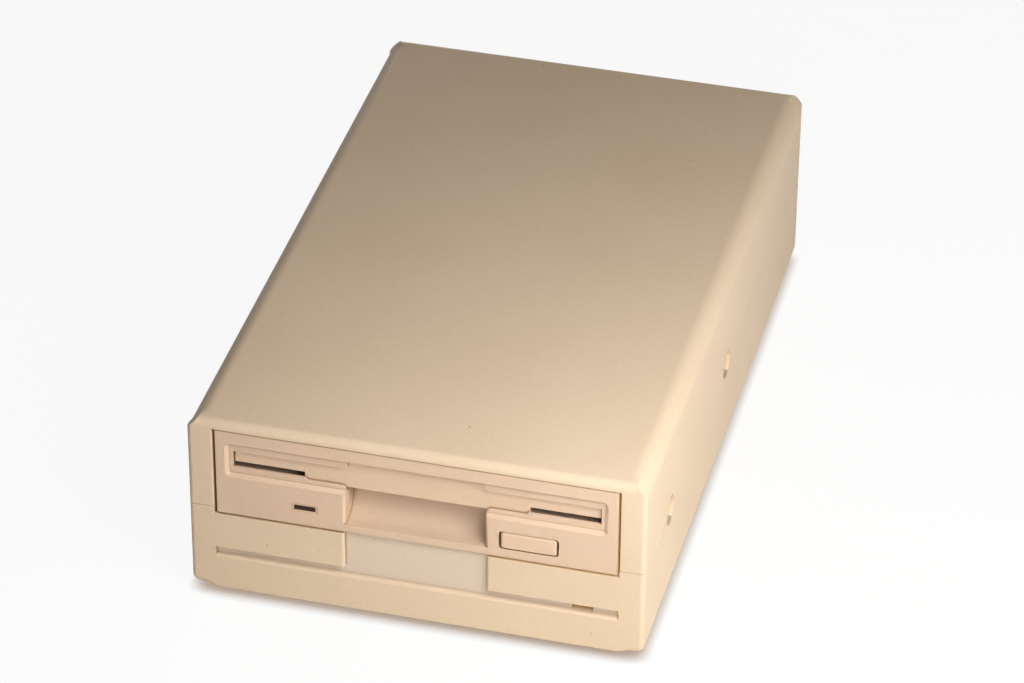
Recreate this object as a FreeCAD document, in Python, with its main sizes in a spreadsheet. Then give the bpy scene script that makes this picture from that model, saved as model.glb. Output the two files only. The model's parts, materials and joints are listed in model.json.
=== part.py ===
"""External 3.5-inch floppy disk drive: a two-shell plastic case around a one-inch-high drive.

Frame: X to the right seen from the front, Y to the rear, Z up. The origin lies under the middle of the
whole object, on the surface that its feet stand on. All lengths are in millimetres.
"""
import FreeCAD, Part
import math
import os

import Sketcher
from FreeCAD import Placement, Rotation, Vector

doc = FreeCAD.newDocument("floppy_drive")
sheet = doc.addObject("Spreadsheet::Sheet", "Dimensions")
nodes = []


# ---------------------------------------------------------------- sizes

class Size(float):
    """A length that remembers the sheet formula it comes from, so that features can be bound to it."""

    def __new__(cls, value, formula):
        size = float.__new__(cls, value)
        size.formula = formula
        return size

    def __add__(self, other):
        return Size(float(self) + float(other), f"({formula(self)} + {formula(other)})")

    def __radd__(self, other):
        return Size(float(other) + float(self), f"({formula(other)} + {formula(self)})")

    def __sub__(self, other):
        return Size(float(self) - float(other), f"({formula(self)} - {formula(other)})")

    def __rsub__(self, other):
        return Size(float(other) - float(self), f"({formula(other)} - {formula(self)})")

    def __mul__(self, other):
        return Size(float(self) * float(other), f"({formula(self)} * {formula(other)})")

    def __rmul__(self, other):
        return Size(float(other) * float(self), f"({formula(other)} * {formula(self)})")

    def __truediv__(self, other):
        return Size(float(self) / float(other), f"({formula(self)} / {formula(other)})")

    def __neg__(self):
        return Size(-float(self), f"(-1 * {formula(self)})")


def formula(value):
    """The sheet formula of a size, or a bare number as text."""
    return value.formula if isinstance(value, Size) else f"{float(value):.9g}"


def dim(alias, value, note):
    """A driving dimension: one row of the sheet, with its meaning beside it."""
    row = len(sheet.getUsedCells()) // 2 + 1
    sheet.set(f"A{row}", note)
    sheet.set(f"B{row}", str(value))
    sheet.setAlias(f"B{row}", alias)
    return Size(value, f"Dimensions.{alias}")


# Case
cheek_w = dim("cheek_w", 6.4, "Width of the case front on each side of the bezel opening")
rear_room = dim("rear_room", 38.5, "Room behind the drive for the connector, its board and the cables")
wall = dim("wall", 2.5, "Case wall")
parting_rise = dim("parting_rise", 1.95, "Joint between the two shells above the bezel's bottom")
foot_proud = dim("foot_proud", 1.5, "How far the feet hold the case off the table")
top_bevel = dim("top_bevel", 3.0, "Bevel along the two long top edges")
front_round = dim("front_round", 2.0, "Rounding of the front top edge")
corner_round = dim("corner_round", 1.3, "Rounding of the upright corners")
bottom_round = dim("bottom_round", 2.8, "Rounding of the bottom edges")
parting_bevel = dim("parting_bevel", 0.25, "Fine bevel that shows as the line between the shells")
relief_depth = dim("relief_depth", 1.4, "Depth of the recess and groove in the lower front")
relief_half = dim("relief_half", 18.1, "Half width of the recess in the lower front")
groove_half = dim("groove_half", 51.4, "Half width of the groove in the lower front")
groove_low = dim("groove_low", 10.3, "Groove's lower edge above the case bottom")
groove_high = dim("groove_high", 12.85, "Groove's upper edge above the case bottom")
window_x = dim("window_x", 42.05, "Centre of the small window in the groove")
window_w = dim("window_w", 5.3, "Width of the small window in the groove")
dimple_r = dim("dimple_r", 4.0, "Radius of the release marks on the sides")
dimple_depth = dim("dimple_depth", 1.0, "Depth of the release marks")
dimple_front = dim("dimple_front", 27.5, "First release mark, behind the case front")
dimple_pitch = dim("dimple_pitch", 65.3, "Distance between the release marks")
hook_w = dim("hook_w", 10.0, "Width of a snap hook")
hook_drop = dim("hook_drop", 7.6, "Reach of a snap hook below the shell joint")
hook_thick = dim("hook_thick", 1.5, "Thickness of a snap hook")
hook_bite = dim("hook_bite", 0.6, "Bite of a snap hook's tooth")
hook_tooth = dim("hook_tooth", 2.5, "Height of a snap hook's tooth")
play = dim("play", 0.2, "Assembly gap between fitted pieces")
foot_half = dim("foot_half", 5.0, "Half width of a foot")
foot_seat = dim("foot_seat", 1.0, "Depth of a foot's seat in the case")
foot_bevel = dim("foot_bevel", 0.5, "Bevel round the underside of a foot")
foot_inset_x = dim("foot_inset_x", 23.0, "Foot centre from the case side")
foot_inset_y = dim("foot_inset_y", 16.0, "Foot centre from the case front or back")

# Fasteners
screw_r = dim("screw_r", 1.5, "M3 screw radius")
screw_head_r = dim("screw_head_r", 2.75, "M3 screw head radius")
screw_head_h = dim("screw_head_h", 1.9, "M3 screw head height")
screw_web = dim("screw_web", 3.0, "Plastic under a screw head")
screw_bite = dim("screw_bite", 3.4, "Length of an M3 screw in the piece that it holds")
case_screw_bite = dim("case_screw_bite", 6.6, "Length of a case screw in the upper shell")
small_screw_r = dim("small_screw_r", 1.0, "M2 screw radius")
small_head_r = dim("small_head_r", 1.9, "M2 screw head radius")
small_head_h = dim("small_head_h", 0.8, "M2 screw head height")
small_post_half = dim("small_post_half", 2.8, "Half width of the interface board's posts")
fit = dim("fit", 0.05, "Radial clearance of a running or threaded fit")
post_half = dim("post_half", 4.5, "Half width of the drive posts")
case_post_half = dim("case_post_half", 4.4, "Half width of the case screw posts")
case_post_x = dim("case_post_x", 47.0, "Case screw posts from the middle")
case_post_back = dim("case_post_back", 11.0, "Case screw posts from the case back")

# Drive front
bezel_w = dim("bezel_w", 101.6, "Drive bezel width, the standard 4 inches")
bezel_h = dim("bezel_h", 25.0, "Drive bezel height")
bezel_sill = dim("bezel_sill", 23.3, "Bezel bottom above the case bottom")
bezel_back = dim("bezel_back", 0.27, "Bezel face behind the case front")
bezel_depth = dim("bezel_depth", 9.0, "Bezel, front to back")
bezel_plate = dim("bezel_plate", 2.0, "Bezel face plate")
bezel_wall = dim("bezel_wall", 1.5, "Bezel rim walls")
side_gap = dim("side_gap", 0.6, "Gap between bezel and case at each side")
edge_gap = dim("edge_gap", 0.2, "Gap between bezel and case above and below")
recess_half = dim("recess_half", 47.4, "Half width of the flat of the slot recess")
recess_low = dim("recess_low", 12.3, "Lower edge of that flat above the bezel bottom")
recess_high = dim("recess_high", 20.6, "Upper edge of that flat above the bezel bottom")
recess_depth = dim("recess_depth", 1.0, "Depth of the slot recess")
recess_bevel = dim("recess_bevel", 0.9, "Bevel around the slot recess")
recess_round = dim("recess_round", 0.6, "Corner rounding of the slot recess")
lip = dim("lip", 0.7, "Thickness of the slot's lips")
slot_half = dim("slot_half", 46.4, "Half width of the disk slot")
slot_low = dim("slot_low", 14.0, "Slot's lower lip above the bezel bottom")
slot_high = dim("slot_high", 18.7, "Slot's upper lip above the bezel bottom")
step_half = dim("step_half", 27.5, "Half width of the step in the lower lip")
step_drop = dim("step_drop", 0.7, "Depth of the step in the lower lip")
break_half = dim("break_half", 17.2, "Half width of the break in the upper lip")
break_high = dim("break_high", 21.5, "Top of the break in the upper lip")
lip_round = dim("lip_round", 1.0, "Rounding of the lips' corners beside the break and the notch")
notch_half = dim("notch_half", 17.8, "Half width of the finger notch")
notch_low = dim("notch_low", 2.4, "Finger notch's lower edge above the bezel bottom")
scoop_r = dim("scoop_r", 5.7, "Radius of the finger notch's scoop")
scoop_start = dim("scoop_start", 2.0, "Where the scoop's curve begins, behind the bezel face")
notch_bevel = dim("notch_bevel", 0.6, "Bevel of the finger notch's upright edges")
chamber_low = dim("chamber_low", 11.5, "Floor of the slot chamber above the bezel bottom")
chamber_high = dim("chamber_high", 21.9, "Ceiling of the slot chamber above the bezel bottom")
chamber_half = dim("chamber_half", 47.6, "Half width of the slot chamber")
hollow_high = dim("hollow_high", 10.5, "Top of the bezel's lower hollows above the bezel bottom")
bezel_edge = dim("bezel_edge", 0.5, "Rounding of the bezel's outer front edges")
clip_x = dim("clip_x", 42.5, "Centre of a bezel clip from the middle")
clip_w = dim("clip_w", 7.0, "Width of a bezel clip")
clip_low = dim("clip_low", 3.3, "Underside of a bezel clip above the bezel bottom")
clip_end = dim("clip_end", 18.6, "End of a bezel clip behind the case front")
clip_barb = dim("clip_barb", 1.6, "Length of the barb on a bezel clip")
clip_tip = dim("clip_tip", 0.5, "End of a bezel clip past its barb")
lens_x = dim("lens_x", -28.1, "Indicator centre")
lens_z = dim("lens_z", 5.4, "Indicator centre above the bezel bottom")
lens_w = dim("lens_w", 5.4, "Indicator width")
lens_h = dim("lens_h", 1.2, "Indicator height")
lens_bevel = dim("lens_bevel", 0.6, "Bevel around the indicator")
lens_back = dim("lens_back", 10.0, "Back of the indicator lens, behind the case front")
holder_wall = dim("holder_wall", 0.6, "Wall of the indicator holder beside the lens")
holder_high = dim("holder_high", 7.5, "Top of the indicator holder")
button_x = dim("button_x", 28.6, "Eject button centre")
button_z = dim("button_z", 5.37, "Eject button centre above the bezel bottom")
button_w = dim("button_w", 14.0, "Eject button width")
button_h = dim("button_h", 4.7, "Eject button height")
button_gap_x = dim("button_gap_x", 0.55, "Gap beside the eject button")
button_gap_z = dim("button_gap_z", 0.22, "Gap above and below the eject button")
button_round = dim("button_round", 0.8, "Corner rounding of the eject button")
button_proud = dim("button_proud", 0.25, "How far the eject button stands out of the bezel")
button_depth = dim("button_depth", 9.2, "Eject button, front to back")
button_edge = dim("button_edge", 0.4, "Bevel of the eject button's front edges")
stem_w = dim("stem_w", 9.5, "Width of the eject button's stem")
stem_h = dim("stem_h", 3.6, "Height of the eject button's stem")
flap_thick = dim("flap_thick", 1.2, "Dust flap thickness")
flap_round = dim("flap_round", 0.5, "Rounding of the flap's top edges")
flap_gap = dim("flap_gap", 0.2, "Gap between the flap and the lips in front of it")
flap_half = dim("flap_half", 46.1, "Half width of the dust flap")
flap_low = dim("flap_low", 15.1, "Lower edge of the flap's ends above the bezel bottom")
flap_tongue_low = dim("flap_tongue_low", 12.6, "Lower edge of the flap's middle above the bezel bottom")
flap_tongue_half = dim("flap_tongue_half", 28.4, "Half width of the flap's middle")
flap_axis_z = dim("flap_axis_z", 20.4, "Flap hinge above the bezel bottom")
flap_pin_r = dim("flap_pin_r", 0.5, "Flap hinge pin radius")
flap_spring_gap = dim("flap_spring_gap", 0.05, "Clearance round the flap's spring")
flap_spring_wire = dim("flap_spring_wire", 0.2, "Thickness of the flap's spring coil")

# Drive inside, with heights above the bezel bottom and lengths behind the case front
frame_half = dim("frame_half", 50.4, "Half width of the drive frame")
frame_wall = dim("frame_wall", 2.0, "Drive frame side wall")
frame_low = dim("frame_low", 0.5, "Bottom of the drive frame")
frame_high = dim("frame_high", 22.0, "Top of the frame's side walls")
frame_end = dim("frame_end", 146.0, "Back of the drive frame")
deck_low = dim("deck_low", 5.0, "Underside of the frame's deck")
deck_thick = dim("deck_thick", 1.5, "Thickness of the frame's deck")
deck_end = dim("deck_end", 131.0, "Back edge of the frame's deck")
mount_x = dim("mount_x", 44.0, "Drive screws from the middle")
mount_front = dim("mount_front", 24.0, "First drive screw behind the case front")
mount_pitch = dim("mount_pitch", 70.0, "Distance between the drive screws")
mount_boss_half = dim("mount_boss_half", 3.5, "Half width of the frame's screw bosses")
board_boss_half = dim("board_boss_half", 2.5, "Half width of the frame's bosses for the logic board")
bar_low = dim("bar_low", 11.7, "Underside of the bar across the frame's back")
bar_high = dim("bar_high", 21.5, "Top of the bar across the frame's back")
head_window = dim("head_window", 11.0, "Half width of the windows for the heads")
head_room_front = dim("head_room_front", 84.5, "Front edge of the deck window under the heads")
deck_room = dim("deck_room", 2.0, "Room in the frame's deck around what passes through it")
cover_low = dim("cover_low", 23.5, "Underside of the drive cover's top")
cover_flange = dim("cover_flange", 3.8, "Reach of the cover's side flanges below its screws")
cover_round = dim("cover_round", 0.5, "Rounding of the cover's folded edges")
cover_screw_z = dim("cover_screw_z", 20.0, "Height of the cover screws")
cover_screw_front = dim("cover_screw_front", 42.0, "First cover screw behind the case front")
cover_screw_pitch = dim("cover_screw_pitch", 80.0, "Distance between the cover screws")
rib_w = dim("rib_w", 4.0, "Width of the cover's stiffening ribs")
rib_h = dim("rib_h", 0.5, "Height of the cover's stiffening ribs")
rib_half = dim("rib_half", 30.0, "Half length of the cover's ribs")
sheet_thick = dim("sheet_thick", 0.6, "Thickness of the cover and carrier sheet")
board_low = dim("board_low", 1.5, "Underside of the logic board")
board_thick = dim("board_thick", 1.2, "Thickness of the logic board")
board_front = dim("board_front", 12.0, "Front edge of the logic board")
board_gap = dim("board_gap", 0.6, "Gap between the logic board and the frame's bosses")
board_side = dim("board_side", 3.0, "Gap between the wide end of the logic board and the frame's walls")
led_foot = dim("led_foot", 2.0, "Length of the indicator holder on the board")
disk_half = dim("disk_half", 45.3, "Half width of the disk space in the carrier")
disk_low = dim("disk_low", 14.2, "Floor of the disk space when the carrier is up")
disk_space = dim("disk_space", 4.2, "Height of the disk space in the carrier")
carrier_front = dim("carrier_front", 12.0, "Front of the disk carrier")
carrier_end = dim("carrier_end", 99.0, "Back of the disk carrier")
carrier_lip = dim("carrier_lip", 7.3, "Width of the carrier's bottom lips")
arm_window_lead = dim("arm_window_lead", 15.0, "Window in the carrier ahead of the heads' innermost place")
eject_travel = dim("eject_travel", 6.0, "Travel of the eject button")
carrier_drop = dim("carrier_drop", 2.5, "Drop of the carrier onto the spindle")
cam_pin_r = dim("cam_pin_r", 1.0, "Radius of the carrier's cam pins")
cam_pin_z = dim("cam_pin_z", 16.2, "Height of the cam pins when the carrier is up")
cam_front = dim("cam_front", 30.0, "First cam pin behind the case front")
cam_pitch = dim("cam_pitch", 50.0, "Distance between the cam pins")
cam_gap = dim("cam_gap", 0.15, "Clearance of a cam pin in its slots")
cam_pin_inset = dim("cam_pin_inset", 0.6, "Ends of the cam pins inside the frame's outer faces")
slide_inner = dim("slide_inner", 46.6, "Inner face of the slide plate's flanges from the middle")
slide_thick = dim("slide_thick", 0.8, "Slide plate sheet")
slide_front = dim("slide_front", 17.0, "Front of the slide plate at rest")
slide_end = dim("slide_end", 92.0, "Back of the slide plate at rest")
slide_strip = dim("slide_strip", 7.0, "Width of the strip across the slide plate")
slide_strip_z = dim("slide_strip_z", 9.6, "Underside of that strip")
slide_high = dim("slide_high", 19.4, "Top of the slide plate's flanges")
slide_gap = dim("slide_gap", 0.3, "Clearance of the slide plate and the shutter lever over what lies below")
eject_spring_x = dim("eject_spring_x", 43.0, "Eject springs from the middle")
eject_spring_front = dim("eject_spring_front", 14.0, "Front end of the eject springs")
eject_spring_len = dim("eject_spring_len", 30.0, "Length of the eject springs at rest")
eject_spring_r = dim("eject_spring_r", 1.2, "Radius of the eject springs")
eject_spring_wire = dim("eject_spring_wire", 0.5, "Wire of the eject springs")
bearing_r = dim("bearing_r", 5.5, "Outer radius of the spindle bearing")
spindle_y = dim("spindle_y", 52.0, "Spindle axis behind the case front")
motor_board_front = dim("motor_board_front", 24.0, "Front edge of the motor board")
motor_board_half = dim("motor_board_half", 30.0, "Half width of the motor board")
motor_board_thick = dim("motor_board_thick", 1.2, "Thickness of the motor board")
bearing_low = dim("bearing_low", 4.0, "Underside of the spindle bearing")
bearing_high = dim("bearing_high", 9.0, "Top of the spindle bearing")
stator_h = dim("stator_h", 2.0, "Height of the stator")
tooth_w = dim("tooth_w", 2.6, "Width of the stator's teeth and of its core ring")
rotor_gap = dim("rotor_gap", 0.6, "Air gap of the spindle motor")
rotor_rim = dim("rotor_rim", 0.8, "Thickness of the rotor cup")
magnet_thick = dim("magnet_thick", 2.9, "Thickness of the ring magnet")
magnet_h = dim("magnet_h", 2.3, "Height of the ring magnet")
rotor_r = dim("rotor_r", 19.5, "Rotor radius")
rotor_top = dim("rotor_top", 11.3, "Top of the rotor plate")
rotor_boss_r = dim("rotor_boss_r", 4.0, "Radius of the rotor's boss on its bearing")
hub_r = dim("hub_r", 11.5, "Radius of the hub's seat for the disk")
hub_top = dim("hub_top", 11.8, "Top of the hub's seat")
shaft_r = dim("shaft_r", 2.0, "Spindle shaft radius")
shaft_top = dim("shaft_top", 13.9, "Tip of the spindle shaft")
shaft_bevel = dim("shaft_bevel", 1.0, "Bevel of the spindle shaft's tip")
drive_pin_at = dim("drive_pin_at", 9.3, "Drive pin from the spindle axis")
drive_pin_r = dim("drive_pin_r", 1.3, "Drive pin radius")
drive_pin_top = dim("drive_pin_top", 13.2, "Top of the drive pin")
drive_pin_bevel = dim("drive_pin_bevel", 0.6, "Bevel of the drive pin's tip")
head_y = dim("head_y", 91.5, "Head centre at track 0, behind the case front")
head_travel = dim("head_travel", 14.8, "Head travel, 79 steps of 3/16 mm")
head_lift = dim("head_lift", 9.0, "Angle by which the upper head arm is lifted, in degrees")
rod_r = dim("rod_r", 1.5, "Guide rod radius")
rod_z = dim("rod_z", 9.6, "Height of the guide rods")
rod_right = dim("rod_right", 15.0, "Right guide rod from the middle")
rod_left = dim("rod_left", -9.5, "Left guide rod from the middle")
rod_front = dim("rod_front", 80.0, "Front end of the guide rods")
rod_end = dim("rod_end", 127.0, "Back end of the guide rods")
rod_lug = dim("rod_lug", 3.0, "Length of the lugs that hold the rods")
rod_lug_half = dim("rod_lug_half", 2.4, "Half width of those lugs, and their height above a rod")
bearing_lug_half = dim("bearing_lug_half", 3.0, "Half width of the lug at the lead screw's bearing")
lead_bearing_r = dim("lead_bearing_r", 2.4, "Outer radius of the lead screw's bearing")
upper_head_len = dim("upper_head_len", 5.0, "Upper head, front to back")
lower_head_len = dim("lower_head_len", 8.0, "Lower head, front to back")
lower_head_top = dim("lower_head_top", 13.7, "Top of the lower head")
head_bevel = dim("head_bevel", 0.6, "Bevel of the heads' faces")
head_half = dim("head_half", 3.5, "Half width of the heads")
nose_half = dim("nose_half", 6.0, "Half width of the carriage's nose and of the upper arm")
carriage_low = dim("carriage_low", 7.3, "Underside of the head carriage")
carriage_high = dim("carriage_high", 11.8, "Top of the head carriage")
carriage_ahead = dim("carriage_ahead", 7.5, "Front of the carriage's body behind the heads")
carriage_behind = dim("carriage_behind", 3.5, "Back of the carriage behind the arm's hinge")
carriage_wall = dim("carriage_wall", 1.0, "Wall of the carriage beside its rods")
carriage_right = dim("carriage_right", 3.0, "Wall of the carriage on the side of its flag")
ear_x = dim("ear_x", 7.0, "Inner face of the carriage's hinge ears")
ear_thick = dim("ear_thick", 2.0, "Thickness of the hinge ears")
ear_half = dim("ear_half", 3.5, "Front of the hinge ears ahead of the hinge")
ear_low = dim("ear_low", 14.6, "Floor between the hinge ears")
ear_crown = dim("ear_crown", 2.0, "Wall of the hinge ears over the pin")
arm_thick = dim("arm_thick", 1.8, "Thickness of the upper arm")
arm_neck = dim("arm_neck", 7.0, "Narrow stretch of the upper arm ahead of its hinge")
arm_taper = dim("arm_taper", 3.5, "Stretch over which the upper arm narrows")
arm_hub_r = dim("arm_hub_r", 2.0, "Radius of the upper arm's hub")
arm_pin_r = dim("arm_pin_r", 1.0, "Radius of the upper arm's hinge pin")
arm_spring_room = dim("arm_spring_room", 2.0, "Room beside the arm's hub for its spring")
needle_r = dim("needle_r", 0.6, "Radius of the needle that runs in the lead screw")
flag_z = dim("flag_z", 10.0, "Underside of the carriage's flag for the light barrier")
flag_len = dim("flag_len", 1.2, "Length of the carriage's flag")
sensor_x = dim("sensor_x", 25.0, "Back wall of the light barrier's slot")
sensor_slot = dim("sensor_slot", 3.3, "Depth of the light barrier's slot")
sensor_wall = dim("sensor_wall", 1.0, "Back wall of the light barrier")
sensor_above = dim("sensor_above", 2.0, "Light barrier above its flag's underside")
sensor_half = dim("sensor_half", 3.5, "Half length of the light barrier")
screw_axis_x = dim("screw_axis_x", -17.5, "Lead screw from the middle")
screw_axis_z = dim("screw_axis_z", 10.0, "Height of the lead screw")
lead_r = dim("lead_r", 1.5, "Lead screw radius")
lead_past = dim("lead_past", 1.5, "Reach of the lead screw past the motor plate")
motor_r = dim("motor_r", 7.0, "Stepper motor radius")
motor_len = dim("motor_len", 13.0, "Stepper motor length")
arm_axis_y = dim("arm_axis_y", 118.5, "Upper arm hinge behind the case front, at track 0")
arm_axis_z = dim("arm_axis_z", 17.3, "Height of the upper arm's hinge")
lever_web = dim("lever_web", 2.2, "Sheet between the shutter lever's slot and the heads' window")
lever_back = dim("lever_back", 2.6726, "Lever's pin at full sweep, ahead of the carrier's back")
lever_reach = dim("lever_reach", 25.3, "Shutter lever pivot to its pin")
lever_rest = dim("lever_rest", 198.4, "Shutter lever's direction at rest, in degrees from +X")
lever_sweep = dim("lever_sweep", 70.0, "Sweep of the shutter lever, in degrees")
lever_pivot_r = dim("lever_pivot_r", 1.5, "Radius of the shutter lever's rivet")
lever_pin_r = dim("lever_pin_r", 1.2, "Radius of the shutter lever's pin")
lever_pin_drop = dim("lever_pin_drop", 2.9, "Reach of that pin into the disk space")
lever_thick = dim("lever_thick", 1.0, "Thickness of the shutter lever")
lever_half = dim("lever_half", 2.4, "Half width of the shutter lever")
lever_rivet_r = dim("lever_rivet_r", 3.0, "Radius of the rivet's head")
lever_wire = dim("lever_wire", 0.5, "Wire of the lever's and the head arm's springs")
lever_spring_h = dim("lever_spring_h", 1.0, "Height of the shutter lever's spring")
switch_x = dim("switch_x", 36.0, "Switches from the middle")
switch_y = dim("switch_y", 28.5, "Switches behind the case front")
switch_h = dim("switch_h", 4.0, "Height of the switches")
switch_half = dim("switch_half", 3.0, "Half width of the switches")
plunger_half = dim("plunger_half", 0.9, "Half width of the switch plungers")
plunger_depth = dim("plunger_depth", 3.0, "Depth of a plunger's hole")
plunger_travel = dim("plunger_travel", 1.6, "Travel of a plunger")
plunger_bevel = dim("plunger_bevel", 0.5, "Bevel of the plungers' tips")
plunger_low = dim("plunger_low", 1.0, "Plunger tips below the disk space, with the carrier up")
board_step = dim("board_step", 100.0, "Where the logic board gets wider, behind the case front")
board_end = dim("board_end", 143.0, "Back edge of the logic board")
near_screw_x = dim("near_screw_x", 10.0, "Front screw of the logic board from the middle")
near_screw_y = dim("near_screw_y", 16.0, "Front screw of the logic board behind the case front")
far_screw_x = dim("far_screw_x", 36.0, "Rear screws of the logic board from the middle")
far_screw_y = dim("far_screw_y", 120.0, "Rear screws of the logic board behind the case front")
chip_size = dim("chip_size", 12.0, "Side of a chip on the logic board")
chip_h = dim("chip_h", 1.6, "Height of those chips")
chip_pitch_x = dim("chip_pitch_x", 18.0, "Step from chip to chip, sideways")
chip_pitch_y = dim("chip_pitch_y", 12.0, "Step from chip to chip, front to back")
header_len = dim("header_len", 9.0, "Cable headers, along the way that the plugs go in")
header_h = dim("header_h", 8.5, "Cable headers, across the way that the plugs go in")
header_wall = dim("header_wall", 1.2, "Wall of the cable headers")
plug_len = dim("plug_len", 9.6, "Length of the cable plugs")
plug_foot = dim("plug_foot", 2.4, "Inner end of a cable plug above its header's bottom face")
cable_inset = dim("cable_inset", 2.0, "Cable from the outer end of its plug")
cable_side = dim("cable_side", 2.4, "Edge of a cable inside its header's edge")
signal_x = dim("signal_x", 16.0, "Centre of the signal cable from the middle")
signal_half = dim("signal_half", 23.0, "Half width of the signal headers")
power_x = dim("power_x", -33.0, "Centre of the power cable from the middle")
power_half = dim("power_half", 6.0, "Half width of the power headers")
ribbon_thick = dim("ribbon_thick", 1.0, "Thickness of the ribbon cable")
power_thick = dim("power_thick", 1.6, "Thickness of the power cable")
cable_bend = dim("cable_bend", 4.0, "Bend radius of the two cables")
rear_header_room = dim("rear_header_room", 26.0, "Headers on the interface board, ahead of the case back")

# Back of the case
plug_pitch = dim("plug_pitch", 63.5, "Distance between the rear connector's screws")
plug_flange_w = dim("plug_flange_w", 69.3, "Rear connector flange width")
plug_flange_h = dim("plug_flange_h", 12.5, "Rear connector flange height")
plug_flange_round = dim("plug_flange_round", 1.0, "Corner rounding of the rear connector's flange")
plug_sheet = dim("plug_sheet", 0.6, "Sheet of the rear connector's flange and shell")
plug_shell_w = dim("plug_shell_w", 55.4, "Rear connector shell width at its wide side")
plug_shell_h = dim("plug_shell_h", 7.9, "Rear connector shell height")
plug_shell_round = dim("plug_shell_round", 2.0, "Corner rounding of the rear connector's shell")
plug_slant = dim("plug_slant", 10.0, "Slant of the shell's sides, in degrees")
plug_core_gap = dim("plug_core_gap", 0.6, "Gap between the shell and the contact block")
plug_core_inset = dim("plug_core_inset", 1.5, "Contact block's face behind the shell's rim")
plug_body_len = dim("plug_body_len", 9.0, "Rear connector's body inside the case")
plug_proud = dim("plug_proud", 3.4, "How far the connector shell stands out of the case")
post_proud = dim("post_proud", 4.8, "How far the hexagonal posts stand out of the case")
post_flats = dim("post_flats", 4.75, "Hexagonal post, across its flats")
post_bore_r = dim("post_bore_r", 1.3, "Thread radius in the hexagonal posts")
stud_past = dim("stud_past", 1.5, "Reach of a post's stud past the connector's flange")
rear_board_gap = dim("rear_board_gap", 5.0, "Height of the interface board above the case floor")
rear_board_thick = dim("rear_board_thick", 1.6, "Thickness of the interface board")
rear_board_half = dim("rear_board_half", 40.0, "Half width of the interface board")
rear_board_len = dim("rear_board_len", 64.0, "Interface board, front to back")
rear_board_inset = dim("rear_board_inset", 4.5, "Board hole centres from its edges")

# Sizes and places that follow from the dimensions: the case is made to the size of the drive in it
case_w = bezel_w + 2 * (side_gap + cheek_w)
case_depth = frame_end + rear_room + wall
case_h = bezel_sill + bezel_h + edge_gap + wall
front = -(case_depth + post_proud) / 2
back = front + case_depth
base = foot_proud
top = base + case_h
parting = base + bezel_sill + parting_rise
floor_top = base + wall
half_w = case_w / 2
inner_half = half_w - wall
front_wall = relief_depth + wall
bz = base + bezel_sill
face = front + bezel_back
chamber_y = face + recess_depth + lip
bezel_rear = face + bezel_depth
deck_top = deck_low + deck_thick
board_top = board_low + board_thick
flap_y = chamber_y + flap_gap
wall_inner = frame_half - frame_wall
rear_board_z = floor_top + rear_board_gap
rear_board_top = rear_board_z + rear_board_thick
rear_board_y = back - wall - play - rear_board_len
plug_z = rear_board_top + plug_flange_h / 2 + play
carrier_top = disk_low + disk_space
lever_slot_r = lever_pin_r + slide_gap
lever_x = head_window + lever_web + lever_slot_r + lever_reach
lever_y = carrier_end - lever_back - lever_reach * math.sin(math.radians(lever_rest - lever_sweep))
SIDES = (-1, 1)
STATOR_BARS = 6  # bars across the stator, with a tooth at each end
HEAD_SIDES = 6  # sides of a screw's head and of the recess that it sits in
FACETS = 8  # sides of the screws and small pins that nothing shows, and of the holes that they go in
RING_SIDES = 12  # sides of the stator and the bearing inside the spindle motor
MAGNET_SIDES = 24  # sides of the ring magnet inside its cup
OVERCUT = 1  # a cut that leaves through a face starts this far outside it


# ---------------------------------------------------------------- drawing helpers

def rect(x0, x1, y0, y1):
    """Rectangle outline."""
    return [(x0, y0), (x1, y0), (x1, y1), (x0, y1)]


def rounded(corners, r):
    """A convex outline with rounded corners. A point's third number makes the stretch after it an arc."""
    outline = []
    for i, (x, y) in enumerate(corners):
        arms = []
        for other in (corners[i - 1], corners[(i + 1) % len(corners)]):
            dx, dy = float(other[0] - x), float(other[1] - y)
            arms.append((dx / math.hypot(dx, dy), dy / math.hypot(dx, dy)))
        (ux, uy), (vx, vy) = arms
        reach = r * (1 / math.tan(math.acos(ux * vx + uy * vy) / 2))
        outline += [(x + reach * ux, y + reach * uy, r), (x + reach * vx, y + reach * vy)]
    return outline


def round_rect(x0, x1, y0, y1, r):
    """Rectangle outline with rounded corners."""
    return rounded(rect(x0, x1, y0, y1), r)


def square(x, y, half):
    """Square outline about a point."""
    return rect(x - half, x + half, y - half, y + half)


def disc(x, y, r):
    """Circle outline."""
    return ("disc", x, y, r)


def polygon(x, y, r, sides=FACETS):
    """A regular outline with its corners on a circle of radius r, one of them to the right."""
    turns = [2 * math.pi * n / sides for n in range(sides)]
    return [(x + r * round(math.cos(t), 9), y + r * round(math.sin(t), 9)) for t in turns]


def around(r, sides=FACETS):
    """Corner radius of the regular outline whose sides touch a circle of radius r."""
    return r * (1 / math.cos(math.pi / sides))


def obround(x0, y0, x1, y1, r):
    """Slot outline: two half circles about two points, with straight sides."""
    run = math.hypot(x1 - x0, y1 - y0)
    nx = -float(y1 - y0) / run
    ny = float(x1 - x0) / run
    return [(x0 - r * nx, y0 - r * ny), (x1 - r * nx, y1 - r * ny, r),
            (x1 + r * nx, y1 + r * ny), (x0 + r * nx, y0 + r * ny, r)]


def mirrored(side, x0, x1):
    """The span x0 to x1 on the right side, or its mirror image on the left."""
    return (x0, x1) if side > 0 else (-x1, -x0)


def bind(obj, prop, value):
    """Sets a property, and ties it to the sheet where the value comes from there."""
    if "." not in prop and "[" not in prop:
        setattr(obj, prop, float(value))
    if isinstance(value, Size):
        obj.setExpression(prop, value.formula)


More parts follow.
